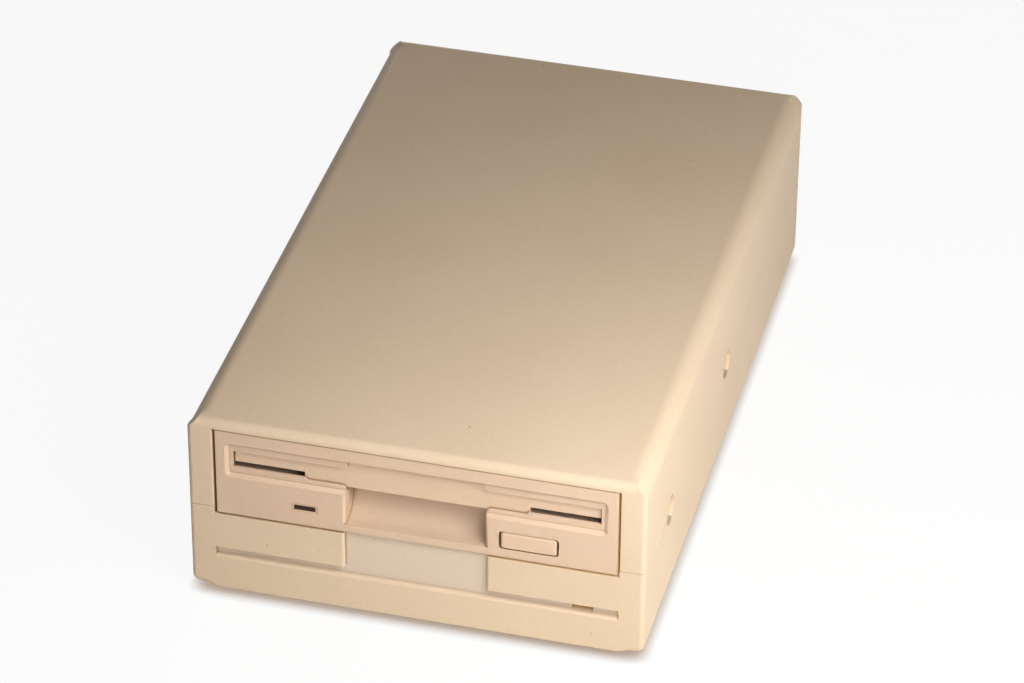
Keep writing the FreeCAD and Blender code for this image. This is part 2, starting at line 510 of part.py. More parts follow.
def hold(sketch, kind, value, *where):
    """Adds one dimension to a sketch."""
    if float(value) == 0 and kind != "Radius":
        axis = -2 if kind == "DistanceX" else -1
        sketch.addConstraint(Sketcher.Constraint("PointOnObject", where[-2], where[-1], axis))
        return
    index = sketch.addConstraint(Sketcher.Constraint(kind, *where, float(value)))
    bind(sketch, f"Constraints[{index}]", value)


def arc_between(a, b, r):
    """Arc of radius r from a to b, at most a half circle. It turns left if r is positive."""
    chord = b - a
    rise = math.sqrt(max(float(r) ** 2 - (chord.Length / 2) ** 2, 0))
    normal = Vector(-chord.y, chord.x, 0).normalize()
    centre = (a + b) / 2 + normal * (rise if r > 0 else -rise)
    first, last = (a, b) if r > 0 else (b, a)
    start = math.atan2(first.y - centre.y, first.x - centre.x)
    end = math.atan2(last.y - centre.y, last.x - centre.x)
    circle = Part.Circle(centre, Vector(0, 0, 1), abs(float(r)))
    return Part.ArcOfCircle(circle, start, end if end > start else end + 2 * math.pi)


def draw(sketch, outline):
    """Draws a closed outline and fixes it by dimensions from the sketch's origin.

    An arc is fixed by its ends and its radius, and a half circle by its ends and its centre.
    """
    first = sketch.GeometryCount
    if outline[0] == "disc":
        _, x, y, r = outline
        sketch.addGeometry(Part.Circle(Vector(x, y, 0), Vector(0, 0, 1), float(r)), False)
        hold(sketch, "DistanceX", x, -1, 1, first, 3)
        hold(sketch, "DistanceY", y, -1, 1, first, 3)
        hold(sketch, "Radius", r, first)
        return
    count = len(outline)
    points = [Vector(p[0], p[1], 0) for p in outline]
    starts = []
    for i, p in enumerate(outline):
        a, b = points[i], points[(i + 1) % count]
        if len(p) == 3:
            sketch.addGeometry(arc_between(a, b, p[2]), False)
            starts.append(1 if p[2] > 0 else 2)
        else:
            sketch.addGeometry(Part.LineSegment(a, b), False)
            starts.append(1)
    for i, p in enumerate(outline):
        following = (i + 1) % count
        ends = 3 - starts[i]
        sketch.addConstraint(
            Sketcher.Constraint("Coincident", first + i, ends, first + following, starts[following]))
    for i, p in enumerate(outline):
        hold(sketch, "DistanceX", p[0], -1, 1, first + i, starts[i])
        hold(sketch, "DistanceY", p[1], -1, 1, first + i, starts[i])
        if len(p) < 3:
            continue
        q = outline[(i + 1) % count]
        chord = points[(i + 1) % count] - points[i]
        if abs(chord.Length - 2 * abs(float(p[2]))) > 1e-6:
            hold(sketch, "Radius", p[2] if p[2] > 0 else -p[2], first + i)
        elif abs(chord.x) > abs(chord.y):
            hold(sketch, "DistanceY", (p[1] + q[1]) / 2, -1, 1, first + i, 3)
        else:
            hold(sketch, "DistanceX", (p[0] + q[0]) / 2, -1, 1, first + i, 3)


class Piece:
    """One separate piece of the product: a body that grows by pads and turned features and loses by pockets.

    It is a node by itself, unless it is to be part of a group.
    """

    def __init__(self, name, alone=True):
        self.body = doc.addObject("PartDesign::Body", name)
        self.body.Label = name
        self.name = name
        self.steps = 0
        self.volume = 0
        self.planes = {f.Role[:2]: f for f in self.body.Origin.OriginFeatures if f.Role.endswith("_Plane")}
        if alone:
            nodes.append(self.body)

    def feature(self, kind):
        """The next feature of this piece."""
        self.steps += 1
        return self.body.newObject(kind, f"{self.name}_{self.steps}")

    def sketch(self, plane, at, outlines, shift=(0, 0)):
        """A sketch on the body's own plane, moved along the plane's normal to the coordinate `at`."""
        sketch = self.feature("Sketcher::SketchObject")
        sketch.AttachmentSupport = (self.planes[plane], "")
        sketch.MapMode = "FlatFace"
        away = -at if plane == "XZ" else at
        sketch.AttachmentOffset = Placement(Vector(shift[0], shift[1], away), Rotation())
        for axis, value in zip("xyz", (*shift, away)):
            bind(sketch, f"AttachmentOffset.Base.{axis}", value)
        for outline in outlines:
            draw(sketch, outline)
        return sketch

    def pad(self, plane, start, end, *outlines):
        """Adds material from the coordinate `start` to `end` along the plane's normal axis."""
        sketch = self.sketch(plane, start, outlines)
        pad = self.feature("PartDesign::Pad")
        pad.Profile = sketch
        pad.Reversed = plane == "XZ"
        bind(pad, "Length", end - start)
        self.done(pad, 1)

    def cut(self, plane, start, end, *outlines):
        """Takes material away from the coordinate `start` to `end` along the plane's normal axis."""
        sketch = self.sketch(plane, start if plane == "XZ" else end, outlines)
        pocket = self.feature("PartDesign::Pocket")
        pocket.Profile = sketch
        bind(pocket, "Length", end - start)
        self.done(pocket, -1)

    def turn(self, centre_z, at_y, outline):
        """Turns a profile of radii and heights about the upright axis at `at_y`."""
        sketch = self.sketch("XZ", at_y, [outline], (0, centre_z))
        turned = self.feature("PartDesign::Revolution")
        turned.Profile = sketch
        turned.ReferenceAxis = (sketch, ["V_Axis"])
        turned.Angle = 360
        self.done(turned, 1)

    def edges(self, x=None, y=None, z=None, inside=None):
        """Names of the edges that lie flat at the given coordinates, and inside the given ranges if any."""
        shape = self.body.Tip.Shape
        found = []
        for i, edge in enumerate(shape.Edges):
            box = edge.BoundBox
            spans = ((box.XMin, box.XMax), (box.YMin, box.YMax), (box.ZMin, box.ZMax))
            flat = all(at is None or any(abs(s[0] - a) < 0.01 and abs(s[1] - a) < 0.01 for a in listed(at))
                       for s, at in zip(spans, (x, y, z)))
            within = inside is None or all(r is None or (s[0] > r[0] - 0.01 and s[1] < r[1] + 0.01)
                                           for s, r in zip(spans, inside))
            if flat and within:
                found.append(f"Edge{i + 1}")
        return found

    def edge_feature(self, kind, prop, size, places):
        """Works on the edges found at the given places."""
        doc.recompute()
        names = []
        for place in places:
            names += [n for n in self.edges(**place) if n not in names]
        if not names:
            raise ValueError(f"{self.name}: no edges to work on at {places}")
        base_feature = self.body.Tip
        feature = self.feature(kind)
        feature.Base = (base_feature, names)
        bind(feature, prop, size)
        self.done(feature, 0)

    def fillet(self, radius, *places):
        """Rounds the edges found at the given places."""
        self.edge_feature("PartDesign::Fillet", "Radius", radius, places)

    def chamfer(self, size, *places):
        """Bevels the edges found at the given places."""
        self.edge_feature("PartDesign::Chamfer", "Size", size, places)

    def done(self, feature, sign):
        """Recomputes, and stops if the feature failed or changed nothing."""
        self.body.Tip = feature
        doc.recompute()
        state = set(feature.State) & {"Invalid", "Error"}
        if state or feature.Shape.isNull() or not feature.Shape.isValid():
            raise ValueError(f"{feature.Name} failed: {feature.State} {feature.getStatusString()}")
        volume = feature.Shape.Volume
        if sign and (volume - self.volume) * sign <= 1e-6:
            raise ValueError(f"{feature.Name} changed nothing: {self.volume} {volume}")
        self.volume = volume


def listed(value):
    """A single coordinate or several, as a list."""
    return value if isinstance(value, (list, tuple)) else [value]


def group(name, solids):
    """Several separate solids of one kind as one node."""
    compound = doc.addObject("Part::Compound", name)
    compound.Label = name
    compound.Links = solids
    nodes.append(compound)


def cylinder(name, r, length, at, along=Vector(0, 0, 1)):
    """A plain cylinder that starts at a point and runs along a direction."""
    solid = doc.addObject("Part::Cylinder", name)
    bind(solid, "Radius", r)
    bind(solid, "Height", length)
    solid.Placement = Placement(Vector(*at), Rotation(Vector(0, 0, 1), along))
    return solid


def prism(name, sides, r, length, at, along=Vector(0, 0, 1)):
    """A regular prism inside a circle of radius r, from a point along a direction."""
    solid = doc.addObject("Part::Prism", name)
    solid.Polygon = sides
    bind(solid, "Circumradius", r)
    bind(solid, "Height", length)
    solid.Placement = Placement(Vector(*at), Rotation(Vector(0, 0, 1), along))
    return solid


def tube(name, r, bore_r, length, at, along=Vector(0, 0, 1)):
    """A regular tube, as the space that a coil spring fills."""
    outside = prism(f"{name}_outside", FACETS, r, length, at, along)
    bore = prism(f"{name}_bore", FACETS, bore_r, length, at, along)
    solid = doc.addObject("Part::Cut", name)
    solid.Base, solid.Tool = outside, bore
    return solid


def block(name, low, high):
    """A plain block between two corners."""
    solid = doc.addObject("Part::Box", name)
    for prop, start, end in zip(("Length", "Width", "Height"), low, high):
        bind(solid, prop, end - start)
    solid.Placement.Base = Vector(*low)
    return solid


def screw(name, at, along, shank_r, shank, head_r, head_h):
    """A hexagon-headed screw, from the middle of its head's seat along its shank."""
    body = prism(f"{name}_shank", FACETS, shank_r, shank, at, along)
    head_at = [a - head_h * c for a, c in zip(at, along)]
    head = prism(f"{name}_head", HEAD_SIDES, head_r, head_h, head_at, along)
    joined = doc.addObject("Part::MultiFuse", name)
    joined.Shapes = [body, head]
    return joined


def behind(length):
    """A place given as a length behind the case front."""
    return front + length


def over(height):
    """A place given as a height above the bezel bottom."""
    return bz + height


# ---------------------------------------------------------------- case

def snap_hook_spans(side, at):
    """X and Y spans of one snap hook beside the release mark at `at`."""
    xs = mirrored(side, inner_half - play - hook_thick, inner_half - play)
    return xs, (at - hook_w / 2, at + hook_w / 2)


def release_marks(piece):
    """Shallow round marks on both sides, half in each shell, where the snap hooks let go."""
    for side in SIDES:
        start, end = mirrored(side, half_w - dimple_depth, half_w)
        marks = [disc(behind(dimple_front + n * dimple_pitch), parting, dimple_r) for n in (0, 1)]
        piece.cut("YZ", start, end, *marks)


def upper_shell():
    """Top cover: a moulded box open below, with the bezel opening, snap hooks and two screw bosses."""
    shell = Piece("upper_shell")
    shell.pad("XY", parting, top, rect(-half_w, half_w, front, back))
    shell.chamfer(top_bevel, {"x": (-half_w, half_w), "z": top})
    shell.fillet(corner_round, {"x": (-half_w, half_w), "y": (front, back)})
    shell.fillet(front_round, {"y": (front, back), "z": top})
    shell.cut("XY", parting, top - wall, rect(-inner_half, inner_half, front + wall, back - wall))
    opening = bezel_w / 2 + side_gap
    shell.cut("XZ", front, front + wall, rect(-opening, opening, parting - OVERCUT, bz + bezel_h + edge_gap))
    for side in SIDES:
        for n in (0, 1):
            xs, ys = snap_hook_spans(side, behind(dimple_front + n * dimple_pitch))
            # a web joins the hook to the wall above the joint, and the tooth points outwards below it
            web = mirrored(side, inner_half - play - hook_thick, inner_half + play)
            shell.pad("XY", parting + play, parting + hook_drop, rect(*web, *ys))
            shell.pad("XY", parting - hook_drop, parting + hook_thick, rect(*xs, *ys))
            tooth_low = parting - hook_drop
            out = inner_half - play
            tooth_high = tooth_low + hook_tooth
            tooth = [(side * (out - hook_thick / 2), tooth_low), (side * out, tooth_low),
                     (side * (out + hook_bite), tooth_high - hook_bite), (side * out, tooth_high),
                     (side * (out - hook_thick / 2), tooth_high)]
            shell.pad("XZ", *ys, tooth)
    posts = [square(side * case_post_x, back - case_post_back, case_post_half) for side in SIDES]
    shell.pad("XY", parting, top - wall, *posts)
    pilots = [polygon(side * case_post_x, back - case_post_back, screw_r + fit) for side in SIDES]
    shell.cut("XY", parting, parting + case_screw_bite + play, *pilots)
    release_marks(shell)


def lower_shell():
    """Bottom tray: relief and groove in the front, posts for the drive, hook seats and connector cut-out."""
    shell = Piece("lower_shell")
    shell.pad("XY", base, parting, rect(-half_w, half_w, front, back))
    shell.fillet(corner_round, {"x": (-half_w, half_w), "y": (front, back)})
    shell.fillet(bottom_round, {"z": base})
    shell.chamfer(parting_bevel, {"z": parting})
    shell.cut("XY", floor_top, parting, rect(-inner_half, inner_half, front + front_wall, back - wall))
    opening = bezel_w / 2 + side_gap
    shell.cut("XZ", front, front + front_wall, rect(-opening, opening, bz - edge_gap, parting + OVERCUT))
    low, high = base + groove_low, base + groove_high
    sill = bz - edge_gap
    relief = [(-groove_half, low), (groove_half, low), (groove_half, high), (relief_half, high),
              (relief_half, sill + OVERCUT), (-relief_half, sill + OVERCUT), (-relief_half, high),
              (-groove_half, high)]
    shell.cut("XZ", front, front + relief_depth, relief)
    window = rect(window_x - window_w / 2, window_x + window_w / 2, low, high)
    shell.cut("XZ", front + relief_depth, front + front_wall, window)
    groove_edge = {"y": front, "z": low, "inside": ((-groove_half, groove_half), None, None)}
    recess_edges = {"y": front, "x": (-relief_half, relief_half), "inside": (None, None, (high, sill))}
    shell.fillet(relief_depth / 2, groove_edge, recess_edges)
    for side in SIDES:
        for n in (0, 1):
            xs, (y0, y1) = snap_hook_spans(side, behind(dimple_front + n * dimple_pitch))
            seat = mirrored(side, inner_half, inner_half + hook_bite)
            z0 = parting - hook_drop - play
            shell.cut("XY", z0, z0 + hook_drop / 2, rect(*seat, y0 - play, y1 + play))
    drive_posts(shell)
    case_posts(shell)
    board_posts(shell)
    rear_cutout(shell)
    feet = [square(x, y, foot_half + play) for x, y in foot_places()]
    shell.cut("XY", base, base + foot_seat, *feet)
    release_marks(shell)


def drive_screw_places():
    """The screws that hold the drive: the middle of the seat under each head."""
    seat = over(frame_low) - screw_web
    return [(side * mount_x, behind(mount_front + n * mount_pitch), seat) for side in SIDES for n in (0, 1)]


def drive_posts(shell):
    """Hollow posts that carry the drive, bored from below for its screws."""
    places = drive_screw_places()
    seat = places[0][2]
    shell.pad("XY", base + wall / 2, over(frame_low), *[square(x, y, post_half) for x, y, _ in places])
    shell.cut("XY", base, seat, *[polygon(x, y, screw_head_r + play, HEAD_SIDES) for x, y, _ in places])
    shell.cut("XY", seat, over(frame_low), *[polygon(x, y, screw_r + fit) for x, y, _ in places])


def case_screw_places():
    """The two screws that close the case at the back."""
    return [(side * case_post_x, back - case_post_back, parting - screw_web) for side in SIDES]


def case_posts(shell):
    """Posts at the back that meet the bosses of the upper shell."""
    places = case_screw_places()
    shell.pad("XY", base + wall / 2, parting, *[square(x, y, case_post_half) for x, y, _ in places])
    seat = parting - screw_web
    shell.cut("XY", base, seat, *[polygon(x, y, screw_head_r + play, HEAD_SIDES) for x, y, _ in places])
    shell.cut("XY", seat, parting, *[polygon(x, y, screw_r + fit) for x, y, _ in places])


def rear_screw_places():
    """The two screws at the front of the interface board; the connector's posts hold its back."""
    xs = rear_board_half - rear_board_inset
    return [(side * xs, rear_board_y + rear_board_inset, rear_board_top) for side in SIDES]


def board_posts(shell):
    """Short posts under the interface board."""
    places = rear_screw_places()
    shell.pad("XY", base + wall / 2, rear_board_z, *[square(x, y, small_post_half) for x, y, _ in places])
    shell.cut("XY", floor_top, rear_board_z, *[polygon(x, y, small_screw_r + fit) for x, y, _ in places])


def plug_outline(gap=0):
    """The D shape of the rear connector's shell, wide side up, with an allowance around it."""
    wide = plug_shell_w / 2 + gap
    narrow = wide - plug_shell_h * math.tan(math.radians(plug_slant))
    high = plug_shell_h / 2 + gap
    return [(-narrow, plug_z - high), (narrow, plug_z - high), (wide, plug_z + high), (-wide, plug_z + high)]


def rear_cutout(shell):
    """Opening for the rear connector, and holes for its two threaded posts."""
    shell.cut("XZ", back - wall, back, plug_outline(play))
    holes = [polygon(side * plug_pitch / 2, plug_z, screw_r + fit) for side in SIDES]
    shell.cut("XZ", back - wall, back, *holes)


def foot_places():
    """Centres of the four feet."""
    return [(sx * (half_w - foot_inset_x), y) for sx in SIDES
            for y in (front + foot_inset_y, back - foot_inset_y)]


def fasteners_and_feet():
    """Rubber feet, and the screws that go in from below."""
    feet = []
    for i, (x, y) in enumerate(foot_places()):
        foot = block(f"foot_{i + 1}", (x - foot_half, y - foot_half, 0),
                     (x + foot_half, y + foot_half, foot_proud + foot_seat))
        doc.recompute()
        bevelled = doc.addObject("Part::Chamfer", f"bevelled_foot_{i + 1}")
        bevelled.Base = foot
        rim = [n + 1 for n, e in enumerate(foot.Shape.Edges) if abs(e.BoundBox.ZMax) < 0.01]
        bevelled.Edges = [(n, float(foot_bevel), float(foot_bevel)) for n in rim]
        feet.append(bevelled)
    group("rubber_feet", feet)
    up = Vector(0, 0, 1)
    size = (screw_r, screw_web + screw_bite, screw_head_r, screw_head_h)
    group("drive_screws", [screw(f"drive_screw_{i + 1}", at, up, *size)
                           for i, at in enumerate(drive_screw_places())])
    long_size = (screw_r, screw_web + case_screw_bite, screw_head_r, screw_head_h)
    group("case_screws", [screw(f"case_screw_{i + 1}", at, up, *long_size)
                          for i, at in enumerate(case_screw_places())])


# ---------------------------------------------------------------- rear connector and its board

def interface_board():
    """Board behind the drive that carries the rear connector and the two cable headers."""
    board = Piece("interface_board")
    board.pad("XY", rear_board_z, rear_board_top,
              rect(-rear_board_half, rear_board_half, rear_board_y, rear_board_y + rear_board_len))
    holes = [polygon(x, y, small_screw_r + fit) for x, y, _ in rear_screw_places()]
    board.cut("XY", rear_board_z, rear_board_top, *holes)
    down = Vector(0, 0, -1)
    size = (small_screw_r, rear_board_thick + rear_board_gap - play, small_head_r, small_head_h)
    group("interface_board_screws", [screw(f"interface_screw_{i + 1}", at, down, *size)
                                     for i, at in enumerate(rear_screw_places())])


def rear_connector():
    """37-way socket: metal flange and shell, plastic body behind and inside it, and two threaded posts."""
    inside = back - wall
    flange = inside - plug_sheet
    rim = back + plug_proud
    metal = Piece("connector_shell")
    half, high = plug_flange_w / 2, plug_flange_h / 2
    metal.pad("XZ", flange, inside, round_rect(-half, half, plug_z - high, plug_z + high, plug_flange_round))
    metal.pad("XZ", inside, rim, plug_outline())
    wide = plug_shell_w / 2
    metal.fillet(plug_shell_round, {"x": (-wide, wide), "inside": (None, (inside, rim), None)})
    metal.cut("XZ", flange, rim, plug_outline(-plug_sheet))
    metal.cut("XZ", flange, inside, *[polygon(s * plug_pitch / 2, plug_z, screw_r + fit) for s in SIDES])
    body = Piece("connector_body")
    body.pad("XZ", flange - plug_body_len, flange, rect(-wide, wide, rear_board_top, plug_z + high - play))
    body.pad("XZ", flange, rim - plug_core_inset, plug_outline(-plug_sheet - plug_core_gap))
    posts = []
    for i, side in enumerate(SIDES):
        at = Vector(side * plug_pitch / 2, back, plug_z)
        outwards = Vector(0, 1, 0)
        stud_len = wall + plug_sheet + stud_past
        corner_r = post_flats / math.sqrt(3)
        hexagon = prism(f"post_{i + 1}_hexagon", HEAD_SIDES, corner_r, post_proud, at, outwards)
        stud = prism(f"post_{i + 1}_stud", FACETS, screw_r, stud_len, at - Vector(0, stud_len, 0), outwards)
        solid = doc.addObject("Part::MultiFuse", f"post_{i + 1}_solid")
        solid.Shapes = [hexagon, stud]
        thread = cylinder(f"post_{i + 1}_thread", post_bore_r, post_proud + OVERCUT, at, outwards)
        post = doc.addObject("Part::Cut", f"post_{i + 1}")
        post.Base, post.Tool = solid, thread
        posts.append(post)
    group("jack_posts", posts)


# ---------------------------------------------------------------- drive front

def slot_outline():
    """The disk slot seen from the front: a long step in its lower lip, a break in its upper lip."""
    low, high = over(slot_low), over(slot_high)
    step = over(slot_low - step_drop)
    return [(-slot_half, low), (-step_half - step_drop, low), (-step_half, step), (step_half, step),
            (step_half + step_drop, low), (slot_half, low), (slot_half, high),
            (break_half + lip_round, high, -lip_round), (break_half, high + lip_round),
            (break_half, over(break_high)), (-break_half, over(break_high)),
            (-break_half, high + lip_round, -lip_round), (-break_half - lip_round, high), (-slot_half, high)]


def notch_outline():
    """The finger notch seen from the side: open in front and above, with a quarter-round scoop."""
    start, deep = face + scoop_start, face + scoop_start + scoop_r
    return [(face - OVERCUT, over(notch_low)), (start, over(notch_low), scoop_r),
            (deep, over(notch_low) + scoop_r), (deep, over(slot_low)), (face - OVERCUT, over(slot_low))]


def clip_span(side):
    """X span of the bezel clip on one side."""
    return mirrored(side, clip_x - clip_w / 2, clip_x + clip_w / 2)


def drive_bezel():
    """Front panel: slot recess with two lips, a chamber behind it for the flap, and the scooped notch."""
    bezel = Piece("drive_bezel")
    half = bezel_w / 2
    low, high = over(recess_low), over(recess_high)
    bezel.pad("XZ", face, bezel_rear, rect(-half, half, bz, over(bezel_h)))
    bezel.fillet(bezel_edge, {"y": face})
    bezel.cut("XZ", face, face + recess_depth, rect(-recess_half, recess_half, low, high))
    bezel.fillet(recess_round, {"x": (-recess_half, recess_half), "z": (low, high)})
    bezel.chamfer(recess_bevel, {"y": face, "inside": ((-recess_half, recess_half), None, (low, high))})
    bezel.cut("XZ", chamber_y, bezel_rear,
              rect(-chamber_half, chamber_half, over(chamber_low), over(chamber_high)))
    bezel.cut("XZ", face, chamber_y, slot_outline())
    bezel.cut("YZ", -notch_half, notch_half, notch_outline())
    bezel.fillet(lip_round, {"x": (-notch_half, notch_half), "z": over(slot_low - step_drop)})
    bezel.chamfer(notch_bevel, {"y": face, "x": (-notch_half, notch_half)})
    plate_back = face + bezel_plate
    hollows = [rect(*mirrored(side, notch_half + bezel_wall, half - bezel_wall),
                    bz + bezel_wall, over(hollow_high)) for side in SIDES]
    bezel.cut("XZ", plate_back, bezel_rear, *hollows)
    bezel.cut("XZ", face, plate_back, lens_outline(fit))
    bezel.chamfer(lens_bevel, {"y": face, "inside": lens_reach()})
    bezel.cut("XZ", face, plate_back, button_outline(button_gap_x, button_gap_z))
    for side in SIDES:
        start, end = mirrored(side, chamber_half, half - bezel_wall)
        seat = polygon(flap_y + flap_thick / 2, over(flap_axis_z), around(flap_pin_r + fit))
        bezel.cut("YZ", start, end, seat)
        span = clip_span(side)
        barb_end = behind(clip_end) - clip_tip
        barb_low = over(clip_low + bezel_wall)
        bezel.pad("XZ", plate_back - fit, behind(clip_end), rect(*span, over(clip_low), barb_low))
        barb = [(barb_end - clip_barb, barb_low - fit), (barb_end, barb_low - fit),
                (barb_end - clip_barb, barb_low + deck_thick)]
        bezel.pad("YZ", *span, barb)


def lens_reach():
    """X, Y and Z ranges round the indicator's hole."""
    reach = lens_w / 2 + lens_bevel
    return ((lens_x - reach, lens_x + reach), None, (over(lens_z) - reach, over(lens_z) + reach))


def lens_outline(gap=0):
    """The indicator seen from the front, with an allowance around it."""
    x, z = lens_x, over(lens_z)
    return rect(x - lens_w / 2 - gap, x + lens_w / 2 + gap, z - lens_h / 2 - gap, z + lens_h / 2 + gap)


def button_outline(gap_x=0, gap_z=0):
    """The eject button seen from the front, with an allowance around it."""
    x, z = button_x, over(button_z)
    return round_rect(x - button_w / 2 - gap_x, x + button_w / 2 + gap_x,
                      z - button_h / 2 - gap_z, z + button_h / 2 + gap_z, button_round)


def indicator():
    """Dark lens in the bezel, and the holder behind it on the logic board."""
    lens = Piece("led_lens")
    lens.pad("XZ", face + lens_bevel, behind(lens_back), lens_outline())
    holder = Piece("led_holder")
    half = lens_w / 2 + holder_wall
    holder.pad("XY", over(board_top), over(holder_high),
               rect(lens_x - half, lens_x + half, behind(lens_back), behind(board_front + led_foot)))


def eject_button():
    """Rounded push button with a stem that bears on the slide plate."""
    button = Piece("eject_button")
    tip = face - button_proud
    button.pad("XZ", tip, tip + button_depth, button_outline())
    button.chamfer(button_edge, {"y": tip})
    x, z = button_x, over(button_z)
    stem = rect(x - stem_w / 2, x + stem_w / 2, z - stem_h / 2, z + stem_h / 2)
    button.pad("XZ", tip + button_depth - button_edge, behind(slide_front) - slide_thick, stem)


def dust_flap():
    """Flap that closes the slot from behind, on a pin at each end."""
    flap = Piece("dust_flap")
    low, high = over(flap_low), over(flap_axis_z) + flap_thick / 2
    tongue = over(flap_tongue_low)
    outline = [(-flap_half, low), (-flap_tongue_half, low), (-flap_tongue_half, tongue),
               (flap_tongue_half, tongue), (flap_tongue_half, low), (flap_half, low), (flap_half, high),
               (-flap_half, high)]
    flap.pad("XZ", flap_y, flap_y + flap_thick, outline)
    flap.fillet(flap_round, {"y": (flap_y, flap_y + flap_thick), "z": high})
    axis = disc(flap_y + flap_thick / 2, over(flap_axis_z), flap_pin_r)
    for side in SIDES:
        start, end = mirrored(side, flap_half - flap_thick, chamber_half + bezel_wall)
        flap.pad("YZ", start, end, axis)
    spring = Piece("flap_spring")
    axis_y, axis_z = flap_y + flap_thick / 2, over(flap_axis_z)
    start, end = -chamber_half + flap_spring_gap, -flap_half - flap_spring_gap
    spring.pad("YZ", start, end, polygon(axis_y, axis_z, flap_pin_r + flap_spring_gap + flap_spring_wire))
    spring.cut("YZ", start, end, polygon(axis_y, axis_z, around(flap_pin_r + flap_spring_gap)))


# ---------------------------------------------------------------- frame and cover of the drive

def cam_places():
    """Cam pin centres, front to back, with the carrier up."""
    return [(behind(cam_front + n * cam_pitch), over(cam_pin_z)) for n in (0, 1)]


def drive_chassis():
    """Die-cast frame: a deck between two side walls, with lugs for the rods and bosses for the screws."""
    frame = Piece("drive_chassis")
    front_end = bezel_rear
    low, high = over(deck_low), over(deck_top)
    frame.pad("XY", low, high, rect(-frame_half, frame_half, front_end, behind(deck_end)))
    for side in SIDES:
        start, end = mirrored(side, wall_inner, frame_half)
        frame.pad("YZ", start, end, rect(front_end, behind(frame_end), over(frame_low), over(frame_high)))
        guides = [rect(y - cam_pin_r - cam_gap, y + cam_pin_r + cam_gap,
                       z - carrier_drop - cam_pin_r - cam_gap, over(frame_high)) for y, z in cam_places()]
        frame.cut("YZ", start, end, *guides)
        frame.cut("YZ", start, end, *[polygon(y, over(cover_screw_z), small_screw_r + fit)
                                      for y in cover_screw_rows()])
    bar = rect(-frame_half, frame_half, over(bar_low), over(bar_high))
    frame.pad("XZ", behind(frame_end) - frame_wall, behind(frame_end), bar)
    places = drive_screw_places()
    frame.pad("XY", over(frame_low), low, *[square(x, y, mount_boss_half) for x, y, _ in places])
    frame.cut("XY", over(frame_low), high, *[polygon(x, y, screw_r + fit) for x, y, _ in places])
    places = logic_board_screw_places()
    frame.pad("XY", over(board_top), low, *[square(x, y, board_boss_half) for x, y, _ in places])
    frame.cut("XY", over(board_top), high, *[polygon(x, y, small_screw_r + fit) for x, y, _ in places])
    hooks = [rect(*mirrored(side, eject_spring_x - eject_spring_r, eject_spring_x + eject_spring_r),
                  behind(eject_spring_front) - slide_thick, behind(eject_spring_front)) for side in SIDES]
    frame.pad("XY", high - fit, over(slide_strip_z) - slide_gap, *hooks)
    x, y = button_x, behind(spindle_y)
    stem_room = rect(x - button_w / 2 - deck_room, x + button_w / 2 + deck_room,
                     front_end, behind(slide_front) + deck_room)
    lens_half = lens_w / 2 + deck_room
    lens_room = rect(lens_x - lens_half, lens_x + lens_half,
                     front_end, behind(board_front + led_foot) + deck_room)
    clips = [rect(*mirrored(side, clip_x - clip_w / 2 - play, clip_x + clip_w / 2 + play),
                  behind(clip_end) - clip_tip - clip_barb - play, behind(clip_end) - clip_tip + play)
             for side in SIDES]
    frame.cut("XY", low, high, stem_room, lens_room, *clips, polygon(0, y, bearing_r + fit, RING_SIDES))
    head_room = rect(-head_window, head_window, behind(head_room_front), behind(rod_end) - rod_lug)
    frame.cut("XY", low, high, head_room)
    rod_lugs(frame)


def cover_screw_rows():
    """Places of the cover screws, front to back."""
    return [behind(cover_screw_front + n * cover_screw_pitch) for n in (0, 1)]


def rod_lugs(frame):
    """Lugs that hold the rods and the lead screw's bearing, and the plate behind them for the motor."""
    base_z = over(deck_top) - fit
    rods = [polygon(x, over(rod_z), around(rod_r)) for x in (rod_left, rod_right)]
    blocks = [rect(x - rod_lug_half, x + rod_lug_half, base_z, over(rod_z) + rod_lug_half)
              for x in (rod_left, rod_right)]
    bearing_block = rect(screw_axis_x - bearing_lug_half, screw_axis_x + bearing_lug_half,
                         base_z, over(screw_axis_z) + bearing_lug_half)
    start, end = behind(rod_front), behind(rod_front) + rod_lug
    frame.pad("XZ", start, end, *blocks, bearing_block)
    frame.cut("XZ", start, end, *rods, polygon(screw_axis_x, over(screw_axis_z), lead_bearing_r))
    start, end = behind(rod_end) - rod_lug, behind(rod_end)
    plate = rect(screw_axis_x - motor_r - play, rod_left + rod_lug_half, base_z, over(screw_axis_z) + motor_r)
    frame.pad("XZ", start, end, plate, blocks[1])
    frame.cut("XZ", start, end, *rods, polygon(screw_axis_x, over(screw_axis_z), around(lead_r + play)))
    motor_room = rect(screw_axis_x - motor_r - play, screw_axis_x + motor_r + play, end, behind(deck_end))
    frame.cut("XY", over(deck_low), over(deck_top), motor_room)


